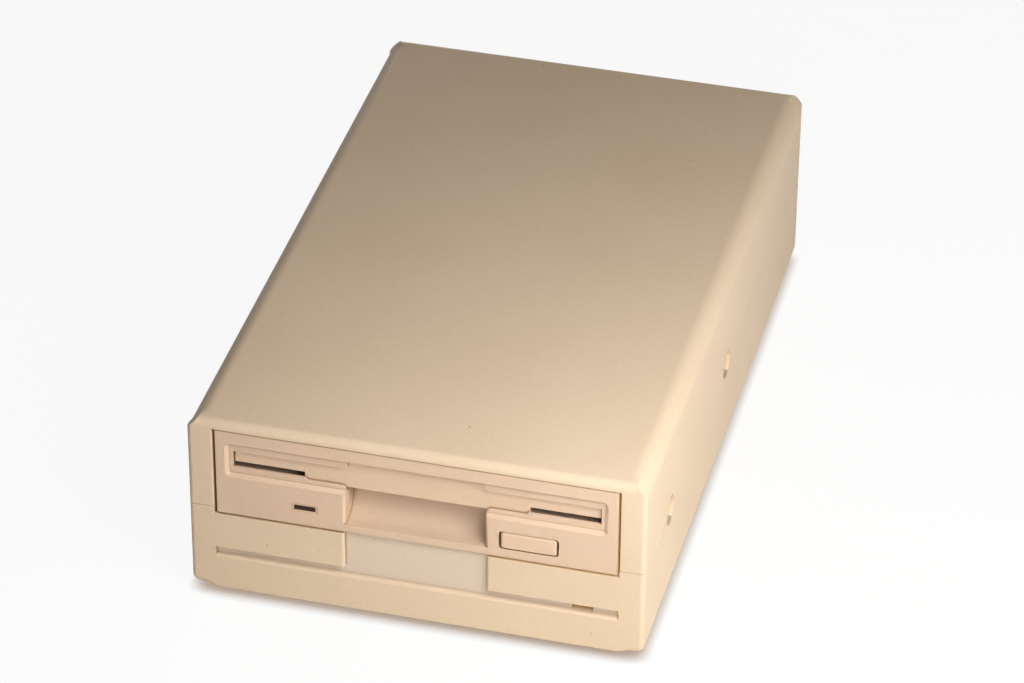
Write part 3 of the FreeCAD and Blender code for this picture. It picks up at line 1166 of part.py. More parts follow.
def drive_cover():
    """Folded sheet cover: a top with two side flanges that overlap the frame."""
    cover = Piece("drive_cover")
    inner, outer = frame_half, frame_half + sheet_thick
    under, top_face = over(cover_low), over(cover_low) + sheet_thick
    edge = over(cover_screw_z) - cover_flange
    profile = [(-outer, edge), (-inner, edge), (-inner, under), (inner, under), (inner, edge), (outer, edge),
               (outer, top_face), (-outer, top_face)]
    start, end = bezel_rear + play, behind(frame_end)
    cover.pad("XZ", start, end, profile)
    cover.fillet(cover_round, {"x": (-outer, outer), "z": top_face})
    holes = [polygon(y, over(cover_screw_z), small_screw_r + fit) for y in cover_screw_rows()]
    cover.cut("YZ", -outer, outer, *holes)
    ribs = [rect(-rib_half, rib_half, behind(y) - rib_w / 2, behind(y) + rib_w / 2)
            for y in (spindle_y - rotor_r, spindle_y + rotor_r)]
    cover.pad("XY", top_face - fit, top_face + rib_h, *ribs)
    screws = []
    for side in SIDES:
        for i, y in enumerate(cover_screw_rows()):
            at = (side * outer, y, over(cover_screw_z))
            name = f"cover_screw_{'right' if side > 0 else 'left'}_{i + 1}"
            screws.append(screw(name, at, Vector(-side, 0, 0), small_screw_r, sheet_thick + frame_wall,
                                small_head_r, small_head_h))
    group("cover_screws", screws)


# ---------------------------------------------------------------- eject slide, carrier and shutter lever

def slide_plate():
    """Sheet-steel slide: two side flanges with inclined cam slots, joined by a strip at the front."""
    slide = Piece("slide_plate")
    inner, outer = slide_inner, slide_inner + slide_thick
    start, end = behind(slide_front), behind(slide_end)
    strip = over(slide_strip_z)
    slide.pad("XY", strip, strip + slide_thick,
              rect(-outer, outer, start - slide_thick, start + slide_strip))
    low = over(deck_top) + slide_gap
    for side in SIDES:
        x0, x1 = mirrored(side, inner, outer)
        slide.pad("YZ", x0, x1, rect(start - slide_thick, end, low, over(slide_high)))
        slots = [obround(y, z, y + eject_travel, z - carrier_drop, cam_pin_r + cam_gap)
                 for y, z in cam_places()]
        slide.cut("YZ", x0, x1, *slots)
        tab_span = mirrored(side, eject_spring_x - eject_spring_r, outer)
        tab = rect(*tab_span, low, over(slide_strip_z) - slide_gap)
        spring_end = behind(eject_spring_front + eject_spring_len)
        slide.pad("XZ", spring_end, spring_end + slide_thick, tab)
    button_tab = rect(button_x - button_w / 2, button_x + button_w / 2,
                      over(button_z) - stem_h / 2, strip + slide_thick)
    slide.pad("XZ", start - slide_thick, start, button_tab)


def slide_springs():
    """Two coils under tension between the frame and the slide, as the space that each fills."""
    springs = []
    z = over(deck_top) + slide_gap + eject_spring_r
    for side in SIDES:
        name = f"slide_spring_{'right' if side > 0 else 'left'}"
        at = (side * eject_spring_x, behind(eject_spring_front), z)
        bore_r = eject_spring_r - eject_spring_wire
        springs.append(tube(name, eject_spring_r, bore_r, eject_spring_len, at, Vector(0, 1, 0)))
    group("slide_springs", springs)


def lever_point(turned, reach):
    """X and Y of a point of the shutter lever, with the lever turned by an angle from its rest."""
    angle = math.radians(lever_rest - turned)
    return lever_x + reach * math.cos(angle), behind(lever_y) + reach * math.sin(angle)


def lever_path():
    """The curved slot that the shutter lever's pin runs in."""
    r = lever_slot_r
    near, far = lever_reach - r, lever_reach + r
    return [(*lever_point(0, near), -r), (*lever_point(0, far), -far), (*lever_point(lever_sweep, far), -r),
            (*lever_point(lever_sweep, near), near)]


def disk_carrier():
    """Folded sheet tray that takes the disk: open in front and behind, with four cam pins at its sides."""
    carrier = Piece("disk_carrier")
    inner, outer = disk_half, disk_half + sheet_thick
    floor_z, roof_z = over(disk_low), over(carrier_top)
    low, high = floor_z - sheet_thick, roof_z + sheet_thick
    lip = disk_half - carrier_lip
    profile = [(-outer, low), (-lip, low), (-lip, floor_z), (-inner, floor_z), (-inner, roof_z),
               (inner, roof_z), (inner, floor_z), (lip, floor_z), (lip, low), (outer, low),
               (outer, high), (-outer, high)]
    carrier.pad("XZ", behind(carrier_front), behind(carrier_end), profile)
    arm_room = rect(-head_window, head_window, behind(head_y) - head_travel - arm_window_lead,
                    behind(carrier_end))
    pivot = polygon(lever_x, behind(lever_y), around(lever_pivot_r))
    carrier.cut("XY", roof_z, roof_z + sheet_thick, arm_room, lever_path(), pivot)
    for side in SIDES:
        start, end = mirrored(side, inner + fit, frame_half - cam_pin_inset)
        carrier.pad("YZ", start, end, *[polygon(y, z, cam_pin_r) for y, z in cam_places()])


def shutter_parts():
    """Lever that opens the disk's shutter, the rivet that it turns on, and its spring."""
    lever = Piece("shutter_lever")
    under = over(carrier_top) + sheet_thick + slide_gap
    upper = under + lever_thick
    pivot, pin = lever_point(0, 0), lever_point(0, lever_reach)
    lever.pad("XY", under, upper, obround(*pivot, *pin, lever_half))
    lever.cut("XY", under, upper, polygon(*pivot, around(lever_pivot_r + fit)))
    lever.pad("XY", over(carrier_top) - lever_pin_drop, under + fit, polygon(*pin, lever_pin_r))
    rivet = Piece("shutter_pivot")
    shank_top = upper + 2 * fit + lever_spring_h
    rivet.pad("XY", over(carrier_top), shank_top + fit, disc(*pivot, lever_pivot_r))
    rivet.pad("XY", shank_top, shank_top + sheet_thick, polygon(*pivot, lever_rivet_r))
    spring = Piece("shutter_spring")
    ring = (upper + fit, upper + fit + lever_spring_h)
    spring.pad("XY", *ring, polygon(*pivot, lever_pivot_r + 2 * fit + lever_wire))
    spring.cut("XY", *ring, polygon(*pivot, around(lever_pivot_r + 2 * fit)))


# ---------------------------------------------------------------- spindle motor

def spindle():
    """Flat brushless motor: board, bearing, stator with its teeth, and the rotor."""
    y = behind(spindle_y)
    deck = over(deck_top)
    board_face = deck + motor_board_thick
    board = Piece("motor_board")
    board.pad("XY", deck, board_face, rect(-motor_board_half, motor_board_half, behind(motor_board_front),
                                           behind(rod_front) - slide_gap))
    board.cut("XY", deck, board_face, polygon(0, y, bearing_r + fit, RING_SIDES))
    bearing = Piece("spindle_bearing")
    bearing.pad("XY", over(bearing_low), over(bearing_high), polygon(0, y, bearing_r, RING_SIDES))
    bearing.cut("XY", over(bearing_low), over(bearing_high), disc(0, y, shaft_r + fit))
    stator = Piece("stator")
    teeth_r = rotor_r - rotor_rim - magnet_thick - rotor_gap
    stator.pad("XY", board_face, board_face + stator_h, polygon(0, y, bearing_r + tooth_w, RING_SIDES))
    for n in range(STATOR_BARS):
        turned = math.pi * n / STATOR_BARS
        ux, uy = math.cos(turned), math.sin(turned)
        half = tooth_w / 2
        corners = rect(-teeth_r, teeth_r, -half, half)
        tooth = [(a * ux - b * uy, y + (a * uy + b * ux)) for a, b in corners]
        stator.pad("XY", board_face, board_face + stator_h, tooth)
    bore = polygon(0, y, bearing_r, RING_SIDES)
    stator.cut("XY", board_face, board_face + stator_h, bore)
    rotor(y)


def rotor(y):
    """Rotor cup with its ring magnet, the shaft with its pointed tip, and the pin that drives the disk."""
    under = rotor_top - rotor_rim
    rim_low = under - magnet_h
    inner = rotor_r - rotor_rim
    cup = Piece("rotor_cup")
    cup.turn(bz, y, [(shaft_r, rim_low), (rotor_r, rim_low), (rotor_r, rotor_top), (hub_r, rotor_top),
                     (hub_r, hub_top), (shaft_r, hub_top)])
    cup.cut("XY", over(rim_low), over(under), polygon(0, y, inner, MAGNET_SIDES))
    cup.pad("XY", over(bearing_high) + slide_gap, over(under) + fit, polygon(0, y, rotor_boss_r, RING_SIDES))
    cup.cut("XY", over(bearing_high) + slide_gap, over(under) + fit, disc(0, y, shaft_r))
    cup.cut("XY", over(under), over(hub_top), polygon(drive_pin_at, y, drive_pin_r))
    magnet = Piece("rotor_magnet")
    magnet.pad("XY", over(rim_low), over(under), polygon(0, y, inner, MAGNET_SIDES))
    magnet.cut("XY", over(rim_low), over(under), polygon(0, y, inner - magnet_thick, MAGNET_SIDES))
    shaft = Piece("spindle_shaft")
    foot = bearing_low + slide_gap
    shaft.turn(bz, y, [(0, foot), (shaft_r, foot), (shaft_r, shaft_top - shaft_bevel),
                       (shaft_r - shaft_bevel, shaft_top), (0, shaft_top)])
    pin = Piece("drive_pin")
    pin.pad("XY", over(under), over(drive_pin_top), polygon(drive_pin_at, y, drive_pin_r))
    pin.chamfer(drive_pin_bevel, {"z": over(drive_pin_top)})


# ---------------------------------------------------------------- heads

def head_carriage():
    """Moulded carriage on two rods: a nose for the lower head, and a fork for the upper arm's hinge."""
    carriage = Piece("head_carriage")
    low, high = over(carriage_low), over(carriage_high)
    body_front, body_back = behind(head_y) + carriage_ahead, behind(arm_axis_y) + carriage_behind
    left, right = rod_left - rod_r - carriage_wall, rod_right + rod_r + carriage_right
    carriage.pad("XY", low, high, rect(left, right, body_front, body_back))
    nose = rect(-nose_half, nose_half, behind(head_y) - lower_head_len / 2, body_front + carriage_wall)
    carriage.pad("XY", low + carriage_wall, high, nose)
    ear_start, ear_end = behind(arm_axis_y) - ear_half, body_back
    ear_outer = ear_x + ear_thick
    carriage.pad("XY", high - fit, over(ear_low), rect(-ear_outer, ear_outer, ear_start, ear_end))
    y, axis_z = behind(arm_axis_y), over(arm_axis_z)
    crown = axis_z + ear_crown
    for side in SIDES:
        start, end = mirrored(side, ear_x, ear_outer)
        ear = [(ear_start, over(ear_low) - fit), (ear_end, over(ear_low) - fit), (ear_end, axis_z),
               (y + ear_crown, crown), (y - ear_crown, crown), (ear_start, axis_z)]
        carriage.pad("YZ", start, end, ear)
        carriage.cut("YZ", start, end, polygon(y, axis_z, around(arm_pin_r)))
    needle = polygon(ear_start, over(screw_axis_z), needle_r)
    carriage.pad("YZ", screw_axis_x + lead_r + 2 * fit, left + fit, needle)
    flag = rect(right - fit, sensor_x - slide_gap, y - flag_len / 2, y + flag_len / 2)
    carriage.pad("XY", over(flag_z), over(flag_z) + sheet_thick, flag)
    # one rod guides the carriage in a close bore, and the other only holds it level, in a wider window
    bore, z = disc(rod_left, over(rod_z), rod_r + fit), over(rod_z)
    window = rect(rod_right - rod_r - play, rod_right + rod_r + play, z - rod_r - fit, z + rod_r + fit)
    carriage.cut("XZ", body_front, body_back, bore, window)
    lower = Piece("lower_head")
    y, half = behind(head_y), lower_head_len / 2
    lower.pad("XY", high, over(lower_head_top), rect(-head_half, head_half, y - half, y + half))
    lower.chamfer(head_bevel, {"z": over(lower_head_top)})


def upper_arm():
    """Arm and upper head, drawn lowered onto the disk and then lifted about the hinge, with hinge parts."""
    axis_y, axis_z = behind(arm_axis_y), over(arm_axis_z)
    lift = Placement(Vector(0, 0, 0), Rotation(Vector(1, 0, 0), -head_lift), Vector(0, axis_y, axis_z))
    low, high = axis_z - arm_thick / 2, axis_z + arm_thick / 2
    front_edge, narrow = behind(head_y) - upper_head_len / 2, axis_y - arm_neck
    taper = narrow - arm_taper
    arm = Piece("upper_arm")
    neck = ear_x - arm_spring_room
    arm.pad("XY", low, high, [(-nose_half, front_edge), (nose_half, front_edge), (nose_half, taper),
                              (neck, narrow), (neck, axis_y), (-neck, axis_y), (-neck, narrow),
                              (-nose_half, taper)])
    arm.pad("YZ", -neck, neck, disc(axis_y, axis_z, arm_hub_r))
    arm.cut("YZ", -neck, neck, disc(axis_y, axis_z, arm_pin_r + fit))
    arm.body.Placement = lift
    head = Piece("upper_head")
    y, half = behind(head_y), upper_head_len / 2
    head.pad("XY", over(lower_head_top) + slide_gap, low, rect(-head_half, head_half, y - half, y + half))
    head.chamfer(head_bevel, {"z": over(lower_head_top) + slide_gap})
    head.body.Placement = lift
    pin = Piece("arm_hinge_pin")
    pin.pad("YZ", -ear_x - ear_thick, ear_x + ear_thick, disc(axis_y, axis_z, arm_pin_r))
    spring = Piece("arm_spring")
    start, end = neck + play, ear_x
    spring.pad("YZ", start, end, polygon(axis_y, axis_z, arm_pin_r + fit + lever_wire))
    spring.cut("YZ", start, end, polygon(axis_y, axis_z, around(arm_pin_r + fit)))


def head_drive():
    """Guide rods, the lead screw in its bearing, and the stepper motor that turns it."""
    ahead = Vector(0, 1, 0)
    start = behind(rod_front)
    rods = [cylinder(f"guide_rod_{i + 1}", rod_r, rod_end - rod_front, (x, start, over(rod_z)), ahead)
            for i, x in enumerate((rod_left, rod_right))]
    group("guide_rods", rods)
    x, z = screw_axis_x, over(screw_axis_z)
    mounted = behind(rod_end)
    lead = Piece("lead_screw")
    lead.pad("XZ", start + play, mounted + lead_past, disc(x, z, lead_r))
    bush = Piece("screw_bearing")
    bush.pad("XZ", start, start + rod_lug, polygon(x, z, lead_bearing_r))
    bush.cut("XZ", start, start + rod_lug, disc(x, z, lead_r + fit))
    motor = Piece("stepper_motor")
    motor.pad("XZ", mounted, mounted + motor_len, disc(x, z, motor_r))
    motor.cut("XZ", mounted, mounted + lead_past + play, disc(x, z, lead_r + fit))


# ---------------------------------------------------------------- logic board, switches and cables

def logic_board_screw_places():
    """The three screws that hold the logic board under the frame: the middle of the seat under each head."""
    places = [(near_screw_x, near_screw_y), (-far_screw_x, far_screw_y), (far_screw_x, far_screw_y)]
    return [(x, behind(y), over(board_low)) for x, y in places]


def logic_board():
    """Board under the deck, wider at the back, with its chips and the screws that hold it."""
    board = Piece("logic_board")
    near, wide = mount_x - mount_boss_half - board_gap, wall_inner - board_side
    y0, y1, y2 = behind(board_front), behind(board_step), behind(board_end)
    low, high = over(board_low), over(board_top)
    board.pad("XY", low, high, [(-near, y0), (near, y0), (near, y1), (wide, y1), (wide, y2), (-wide, y2),
                                (-wide, y1), (-near, y1)])
    places = logic_board_screw_places()
    board.cut("XY", low, high, *[polygon(x, y, small_screw_r + fit) for x, y, _ in places])
    size = (small_screw_r, board_thick + deck_low - board_top, small_head_r, small_head_h)
    group("logic_board_screws", [screw(f"board_screw_{i + 1}", at, Vector(0, 0, 1), *size)
                                 for i, at in enumerate(places)])
    chips = []
    for i, n in enumerate((-1, 0, 1)):
        x, y = n * chip_pitch_x - chip_size / 2, behind(spindle_y) + n * chip_pitch_y
        chips.append(block(f"chip_{i + 1}", (x, y, low - chip_h), (x + chip_size, y + chip_size, low)))
    group("board_chips", chips)


def switches():
    """Two switches on the deck whose plungers feel the disk, and the light barrier for track 0."""
    deck = over(deck_top)
    bodies = []
    for name, side in (("write_protect", -1), ("disk_in", 1)):
        x, y = side * switch_x, behind(switch_y)
        body = Piece(f"{name}_switch", alone=False)
        top_face = deck + switch_h
        body.pad("XY", deck, top_face, square(x, y, switch_half))
        body.cut("XY", top_face - plunger_depth, top_face, square(x, y, plunger_half + fit))
        bodies.append(body.body)
        plunger = Piece(f"{name}_plunger")
        foot = top_face - plunger_depth + plunger_travel + play
        plunger.pad("XY", foot, over(disk_low) - plunger_low, square(x, y, plunger_half))
        plunger.chamfer(plunger_bevel, {"z": over(disk_low) - plunger_low})
    group("switch_bodies", bodies)
    sensor = Piece("track_sensor")
    y = behind(arm_axis_y)
    left, right = sensor_x - sensor_slot, sensor_x + sensor_wall
    sensor.pad("XY", deck, over(flag_z) + sensor_above, rect(left, right, y - sensor_half, y + sensor_half))
    slot = rect(left, sensor_x, over(flag_z) - slide_gap, over(flag_z) + sheet_thick + slide_gap)
    sensor.cut("XZ", y - sensor_half, y + sensor_half, slot)


def header(name, x, half):
    """Open box header on the back edge of the logic board, facing backwards."""
    piece = Piece(name)
    start, end = behind(board_end) - header_len, behind(board_end)
    low, high = over(board_top), over(board_top) + header_h
    piece.pad("XZ", start, end, rect(x - half, x + half, low, high))
    piece.cut("XZ", start + header_wall, end, rect(x - half + header_wall, x + half - header_wall,
                                                   low + header_wall, high - header_wall))


def rear_header(name, x, half):
    """The same header standing on the interface board, facing upwards."""
    piece = Piece(name, alone=False)
    y = back - rear_header_room
    piece.pad("XY", rear_board_top, rear_board_top + header_len,
              rect(x - half, x + half, y - header_h / 2, y + header_h / 2))
    piece.cut("XY", rear_board_top + header_wall, rear_board_top + header_len,
              rect(x - half + header_wall, x + half - header_wall,
                   y - header_h / 2 + header_wall, y + header_h / 2 - header_wall))
    return piece.body


def plugs(name, x, half):
    """The two plugs of one cable, seated in the headers of the logic board and the interface board."""
    wide = half - header_wall - fit
    thick = header_h - 2 * header_wall - 2 * fit
    z = over(board_top) + header_h / 2
    start = behind(board_end) - header_len + plug_foot
    near = Piece(f"{name}_near", alone=False)
    near.pad("XZ", start, start + plug_len, rect(x - wide, x + wide, z - thick / 2, z + thick / 2))
    far = Piece(f"{name}_far", alone=False)
    foot = rear_board_top + plug_foot
    y = back - rear_header_room
    far.pad("XY", foot, foot + plug_len, rect(x - wide, x + wide, y - thick / 2, y + thick / 2))
    group(name, [near.body, far.body])


def flat_cable(name, x, half, thick):
    """Flat cable held at both ends: down from the near plug, round one bend, and back to the far plug."""
    half_plug = header_h / 2 - header_wall - fit
    y = behind(board_end) - header_len + plug_foot + plug_len - cable_inset
    z = rear_board_top + plug_foot + plug_len - cable_inset
    upper = over(board_top) + header_h / 2 - half_plug
    far = back - rear_header_room - half_plug
    outer, inner = cable_bend + thick / 2, cable_bend - thick / 2
    cable = Piece(name)
    cable.pad("YZ", x - half, x + half, [
        (y - thick / 2, upper), (y - thick / 2, z + cable_bend, outer), (y + cable_bend, z - thick / 2),
        (far, z - thick / 2), (far, z + thick / 2), (y + cable_bend, z + thick / 2, -inner),
        (y + thick / 2, z + cable_bend), (y + thick / 2, upper)])


def cables():
    """Headers, plugs and flat cables between the drive and the interface board."""
    header("signal_header", signal_x, signal_half)
    header("power_header", power_x, power_half)
    group("board_headers", [rear_header("rear_signal_header", signal_x, signal_half),
                            rear_header("rear_power_header", power_x, power_half)])
    plugs("signal_plugs", signal_x, signal_half)
    plugs("power_plugs", power_x, power_half)
    flat_cable("ribbon_cable", signal_x, signal_half - cable_side, ribbon_thick)
    flat_cable("power_cable", power_x, power_half - cable_side, power_thick)


# ---------------------------------------------------------------- build, test and export

upper_shell()
lower_shell()
fasteners_and_feet()
interface_board()
rear_connector()
drive_bezel()
indicator()
eject_button()
dust_flap()
drive_chassis()
drive_cover()
slide_plate()
slide_springs()
disk_carrier()
shutter_parts()
spindle()
head_carriage()
upper_arm()
head_drive()
logic_board()
switches()
cables()

doc.recompute()
for obj in doc.Objects:
    if {"Invalid", "Error"} & set(obj.State):
        raise ValueError(f"{obj.Label} failed: {obj.State}")
for node in nodes:
    if node.Shape.isNull() or not node.Shape.isValid():
        raise ValueError(f"{node.Label} has no valid shape")

os.makedirs("parts", exist_ok=True)
for node in nodes:
    node.Shape.exportStep(f"parts/{node.Label}.step")
print(f"{len(nodes)} pieces written")
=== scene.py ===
"""External 3.5-inch floppy disk drive: the finish of every surface, the studio and the camera.

All lengths are in metres unless a name says otherwise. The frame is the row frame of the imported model:
X to the right seen from the front, Y to the rear, Z up.
"""
import json
import math

import bmesh
import bpy
import numpy as np
from mathutils import Matrix, Vector


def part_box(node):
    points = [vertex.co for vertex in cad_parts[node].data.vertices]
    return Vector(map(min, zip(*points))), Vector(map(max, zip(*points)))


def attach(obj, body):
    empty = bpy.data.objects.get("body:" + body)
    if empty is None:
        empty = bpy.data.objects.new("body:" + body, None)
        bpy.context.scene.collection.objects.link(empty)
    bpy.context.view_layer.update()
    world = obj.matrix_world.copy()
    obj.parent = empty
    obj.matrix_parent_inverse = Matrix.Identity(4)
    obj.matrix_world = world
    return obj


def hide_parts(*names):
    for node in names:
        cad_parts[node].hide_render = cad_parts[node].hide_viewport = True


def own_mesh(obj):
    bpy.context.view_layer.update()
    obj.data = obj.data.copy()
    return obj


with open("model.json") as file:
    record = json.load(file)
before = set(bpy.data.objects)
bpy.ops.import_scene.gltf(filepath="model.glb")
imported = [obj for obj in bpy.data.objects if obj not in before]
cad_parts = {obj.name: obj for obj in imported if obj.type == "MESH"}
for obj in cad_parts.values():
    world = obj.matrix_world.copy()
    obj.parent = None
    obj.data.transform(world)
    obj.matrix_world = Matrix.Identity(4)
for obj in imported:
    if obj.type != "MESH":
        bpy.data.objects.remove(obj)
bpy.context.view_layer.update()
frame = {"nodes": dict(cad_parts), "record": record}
MM = 0.001


# ---------------------------------------------------------------- camera

CAMERA_AT = Vector((0.24397, -0.96795, 0.70741))
CAMERA_LOOKS = Vector((-0.20148, 0.79913, -0.56639))
CAMERA_ROLL = math.radians(0.434)
LENS_MM = 162.81
SENSOR_MM = 36.0


def place_camera():
    """The camera at the viewing angle, with a slight roll about its line of sight."""
    data = bpy.data.cameras.new("camera")
    data.lens = LENS_MM
    data.sensor_width = SENSOR_MM
    camera = bpy.data.objects.new("camera", data)
    bpy.context.scene.collection.objects.link(camera)
    level = CAMERA_LOOKS.to_track_quat("-Z", "Y").to_matrix().to_4x4()
    camera.matrix_world = Matrix.Translation(CAMERA_AT) @ level @ Matrix.Rotation(CAMERA_ROLL, 4, "Z")
    bpy.context.scene.camera = camera


# ---------------------------------------------------------------- shader helpers

def linear(hex_colour):
    """A linear RGBA colour from an sRGB hex value."""
    channels = [int(hex_colour[i:i + 2], 16) / 255 for i in (1, 3, 5)]
    return tuple(c / 12.92 if c <= 0.04045 else ((c + 0.055) / 1.055) ** 2.4 for c in channels) + (1.0,)


def put(tree, node, inputs):
    """Links each input that is given as a socket, and sets any other."""
    for name, value in inputs.items():
        if isinstance(value, bpy.types.NodeSocket):
            tree.links.new(value, node.inputs[name])
        else:
            node.inputs[name].default_value = value


def add(tree, kind, inputs=None, **settings):
    """Adds a shader node with its settings and inputs."""
    node = tree.nodes.new("ShaderNode" + kind)
    for name, value in settings.items():
        setattr(node, name, value)
    put(tree, node, inputs or {})
    return node


def new_material(name):
    """An empty node material with its shader, and the object's own coordinates."""
    material = bpy.data.materials.new(name)
    material.use_nodes = True
    tree = material.node_tree
    tree.nodes.clear()
    shader = add(tree, "BsdfPrincipled")
    add(tree, "OutputMaterial", {"Surface": shader.outputs["BSDF"]})
    coords = add(tree, "TexCoord").outputs["Object"]
    return material, tree, shader, coords


def per_mm(size_mm):
    """The texture scale that gives features of about this size in millimetres."""
    return 1 / (size_mm * MM)


def tinted(tree, base, layers):
    """A base colour with tints laid over it, one after the other.

    A layer gives the tint, its pattern, the pattern's values where the tint starts and is full, and its
    share where it is full.
    """
    colour = base
    for tint, pattern, start, full, most in layers:
        share = add(tree, "MapRange", {"Value": pattern, "From Min": start, "From Max": full, "To Max": most})
        mix = add(tree, "Mix", {0: share.outputs[0], 6: colour, 7: linear(tint)}, data_type="RGBA")
        colour = mix.outputs[2]
    return colour


# ---------------------------------------------------------------- zones and crevices

FRONT_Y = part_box("lower_shell")[0].y
# a limit of a zone: the axis, where the zone is still empty, and where it is full
FRONT_ZONE = (("Y", FRONT_Y + 14.0 * MM, FRONT_Y + 10.0 * MM),)
RECESS_ZONE = (("Y", FRONT_Y + 0.4 * MM, FRONT_Y + 1.2 * MM), ("Y", FRONT_Y + 2.4 * MM, FRONT_Y + 2.0 * MM),
               ("Z", 25.5 * MM, 25.0 * MM), ("Z", 11.0 * MM, 11.5 * MM))
WINDOW_ZONE = (("Y", FRONT_Y + 1.45 * MM, FRONT_Y + 1.6 * MM), ("Y", FRONT_Y + 8.0 * MM, FRONT_Y + 6.0 * MM),
               ("X", 39.0 * MM, 39.05 * MM), ("X", 45.0 * MM, 44.95 * MM),
               ("Z", 11.4 * MM, 11.45 * MM), ("Z", 14.7 * MM, 14.65 * MM))
# the painted glow in narrow gaps and in the groove's window: its reach, strength and fall-off to the left
SEEPING_MM = 2.6
SEEPING_STRENGTH = 0.26
SEEPING_LEFT_X, SEEPING_RIGHT_X = -55.0 * MM, 52.0 * MM
SEEPING_LEFT_SHARE = 0.05
SEEPING_START_MM = 0.4
WINDOW_SHARE = 0.6


def zone(tree, coords, limits):
    """1 inside a zone of the object and 0 outside it, as the product of a ramp at each of its limits."""
    place = add(tree, "SeparateXYZ", {"Vector": coords})
    inside = 1.0
    for axis, empty_at, full_at in limits:
        edge = add(tree, "MapRange", {"Value": place.outputs[axis], "From Min": empty_at,
                                      "From Max": full_at}).outputs[0]
        inside = add(tree, "Math", {0: inside, 1: edge}, operation="MULTIPLY").outputs[0]
    return inside


def occluded(tree, reach_mm, open_at=0.9, closed_at=0.45):
    """How much a point lies in a crevice narrower than a reach: 0 in the open, 1 deep inside."""
    around = add(tree, "AmbientOcclusion", {"Distance": reach_mm * MM}, samples=6)
    return add(tree, "MapRange", {"Value": around.outputs["AO"], "From Min": closed_at, "From Max": open_at,
                                  "To Min": 1.0, "To Max": 0.0}).outputs[0]


def painted_seeping_glow(tree, coords, from_x_mm):
    """A painted glow in narrow gaps, emitted where light would seep through the ivory walls: strong on the
    right side, faint on the left.

    Pieces that it reaches only at their sides give the distance from the middle at which it starts. The
    walls of the small window in the groove get this painted glow too, as if lit from behind.
    """
    x = add(tree, "SeparateXYZ", {"Vector": coords}).outputs["X"]
    off_middle = add(tree, "Math", {0: x}, operation="ABSOLUTE").outputs[0]
    to_right = add(tree, "MapRange", {"Value": x, "From Min": SEEPING_LEFT_X, "From Max": SEEPING_RIGHT_X,
                                      "To Min": SEEPING_LEFT_SHARE}).outputs[0]
    outside = add(tree, "MapRange", {"Value": off_middle, "From Min": (from_x_mm - SEEPING_START_MM) * MM,
                                     "From Max": from_x_mm * MM}).outputs[0]
    light = occluded(tree, SEEPING_MM, open_at=0.55, closed_at=0.25)
    for share in (to_right, outside, zone(tree, coords, FRONT_ZONE)):
        light = add(tree, "Math", {0: light, 1: share}, operation="MULTIPLY").outputs[0]
    window = add(tree, "Math", {0: zone(tree, coords, WINDOW_ZONE), 1: WINDOW_SHARE}, operation="MULTIPLY")
    light = add(tree, "Math", {0: light, 1: window.outputs[0]}, operation="MAXIMUM").outputs[0]
    return add(tree, "Math", {0: light, 1: SEEPING_STRENGTH}, operation="MULTIPLY").outputs[0]


# ---------------------------------------------------------------- moulded plastics

PATCH_MM = 38.0
SPECKLE_GRAINS = 2.2
SPECK_MM = 1.1
# the crevice tint below is partly dust and partly painted shade, and is weaker behind the front
CREVICE_MM = 0.7
DUST_AND_SHADE_BEHIND = 0.25
RECESS_COLOUR = "#d6c8b6"
SPECKLE_COLOUR = "#6b5440"
SPECK_COLOUR = "#5a4430"
CREVICE_DUST_AND_SHADE_COLOUR = "#8f6a30"
# colour of the painted glow in narrow gaps
SEEPING_COLOUR = "#c8963c"


def moulded_abs(name, base_hex, warm_hex, roughness, grain_mm, grain_height_mm, pale_recess=False,
                glow_from_mm=0.0):
    """Moulded ABS with a spark-eroded texture, which scatters the highlight into a soft sheen.

    The grain is drawn coarser than the real one of about 0.1 mm, so that it shows. Large soft patches turn a
    little warmer, as old ivory ABS does, and fine dark specks lie here and there. Crevices darken towards
    ochre, partly with dust and partly with painted shade, and narrow gaps get a painted ochre glow where
    light would come through the walls. Light has yellowed the floor of the recess less.
    """
    material, tree, shader, coords = new_material(name)
    patches = add(tree, "TexNoise", {"Vector": coords, "Scale": per_mm(PATCH_MM),
                                     "Detail": 2.0}).outputs["Fac"]
    speckle = add(tree, "TexNoise", {"Vector": coords, "Scale": per_mm(grain_mm * SPECKLE_GRAINS),
                                     "Detail": 4.0, "Roughness": 0.7}).outputs["Fac"]
    specks = add(tree, "TexNoise", {"Vector": coords, "Scale": per_mm(SPECK_MM),
                                    "Detail": 1.0}).outputs["Fac"]
    grain = add(tree, "TexNoise", {"Vector": coords, "Scale": per_mm(grain_mm), "Detail": 2.0,
                                   "Roughness": 0.6}).outputs["Fac"]
    # crevices darken towards ochre by ambient occlusion: partly dust, partly painted shade in gaps and
    # corners
    dust_and_shade_share = add(tree, "MapRange", {"Value": zone(tree, coords, FRONT_ZONE),
                                   "To Min": DUST_AND_SHADE_BEHIND}).outputs[0]
    dust = add(tree, "Math", {0: occluded(tree, CREVICE_MM), 1: dust_and_shade_share}, operation="MULTIPLY").outputs[0]
    layers = [(warm_hex, patches, 0.35, 0.65, 0.5), (SPECKLE_COLOUR, speckle, 0.30, 0.70, 0.055),
              (SPECK_COLOUR, specks, 0.80, 0.83, 0.5), (CREVICE_DUST_AND_SHADE_COLOUR, dust, 0.0, 1.0, 0.7)]
    if pale_recess:
        layers.insert(1, (RECESS_COLOUR, zone(tree, coords, RECESS_ZONE), 0.0, 1.0, 1.0))
    bump = add(tree, "Bump", {"Height": grain, "Strength": 0.5, "Distance": grain_height_mm * MM})
    sheen = add(tree, "MapRange", {"Value": patches, "From Min": 0.2, "From Max": 0.8,
                                   "To Min": roughness - 0.03, "To Max": roughness + 0.03})
    # the emission is a painted glow in the gaps, standing in for light through the walls
    put(tree, shader, {"Base Color": tinted(tree, linear(base_hex), layers), "Roughness": sheen.outputs[0],
                       "Normal": bump.outputs["Normal"], "IOR": 1.53, "Specular IOR Level": 0.10,
                       "Emission Color": linear(SEEPING_COLOUR),
                       "Emission Strength": painted_seeping_glow(tree, coords, glow_from_mm)})
    return material


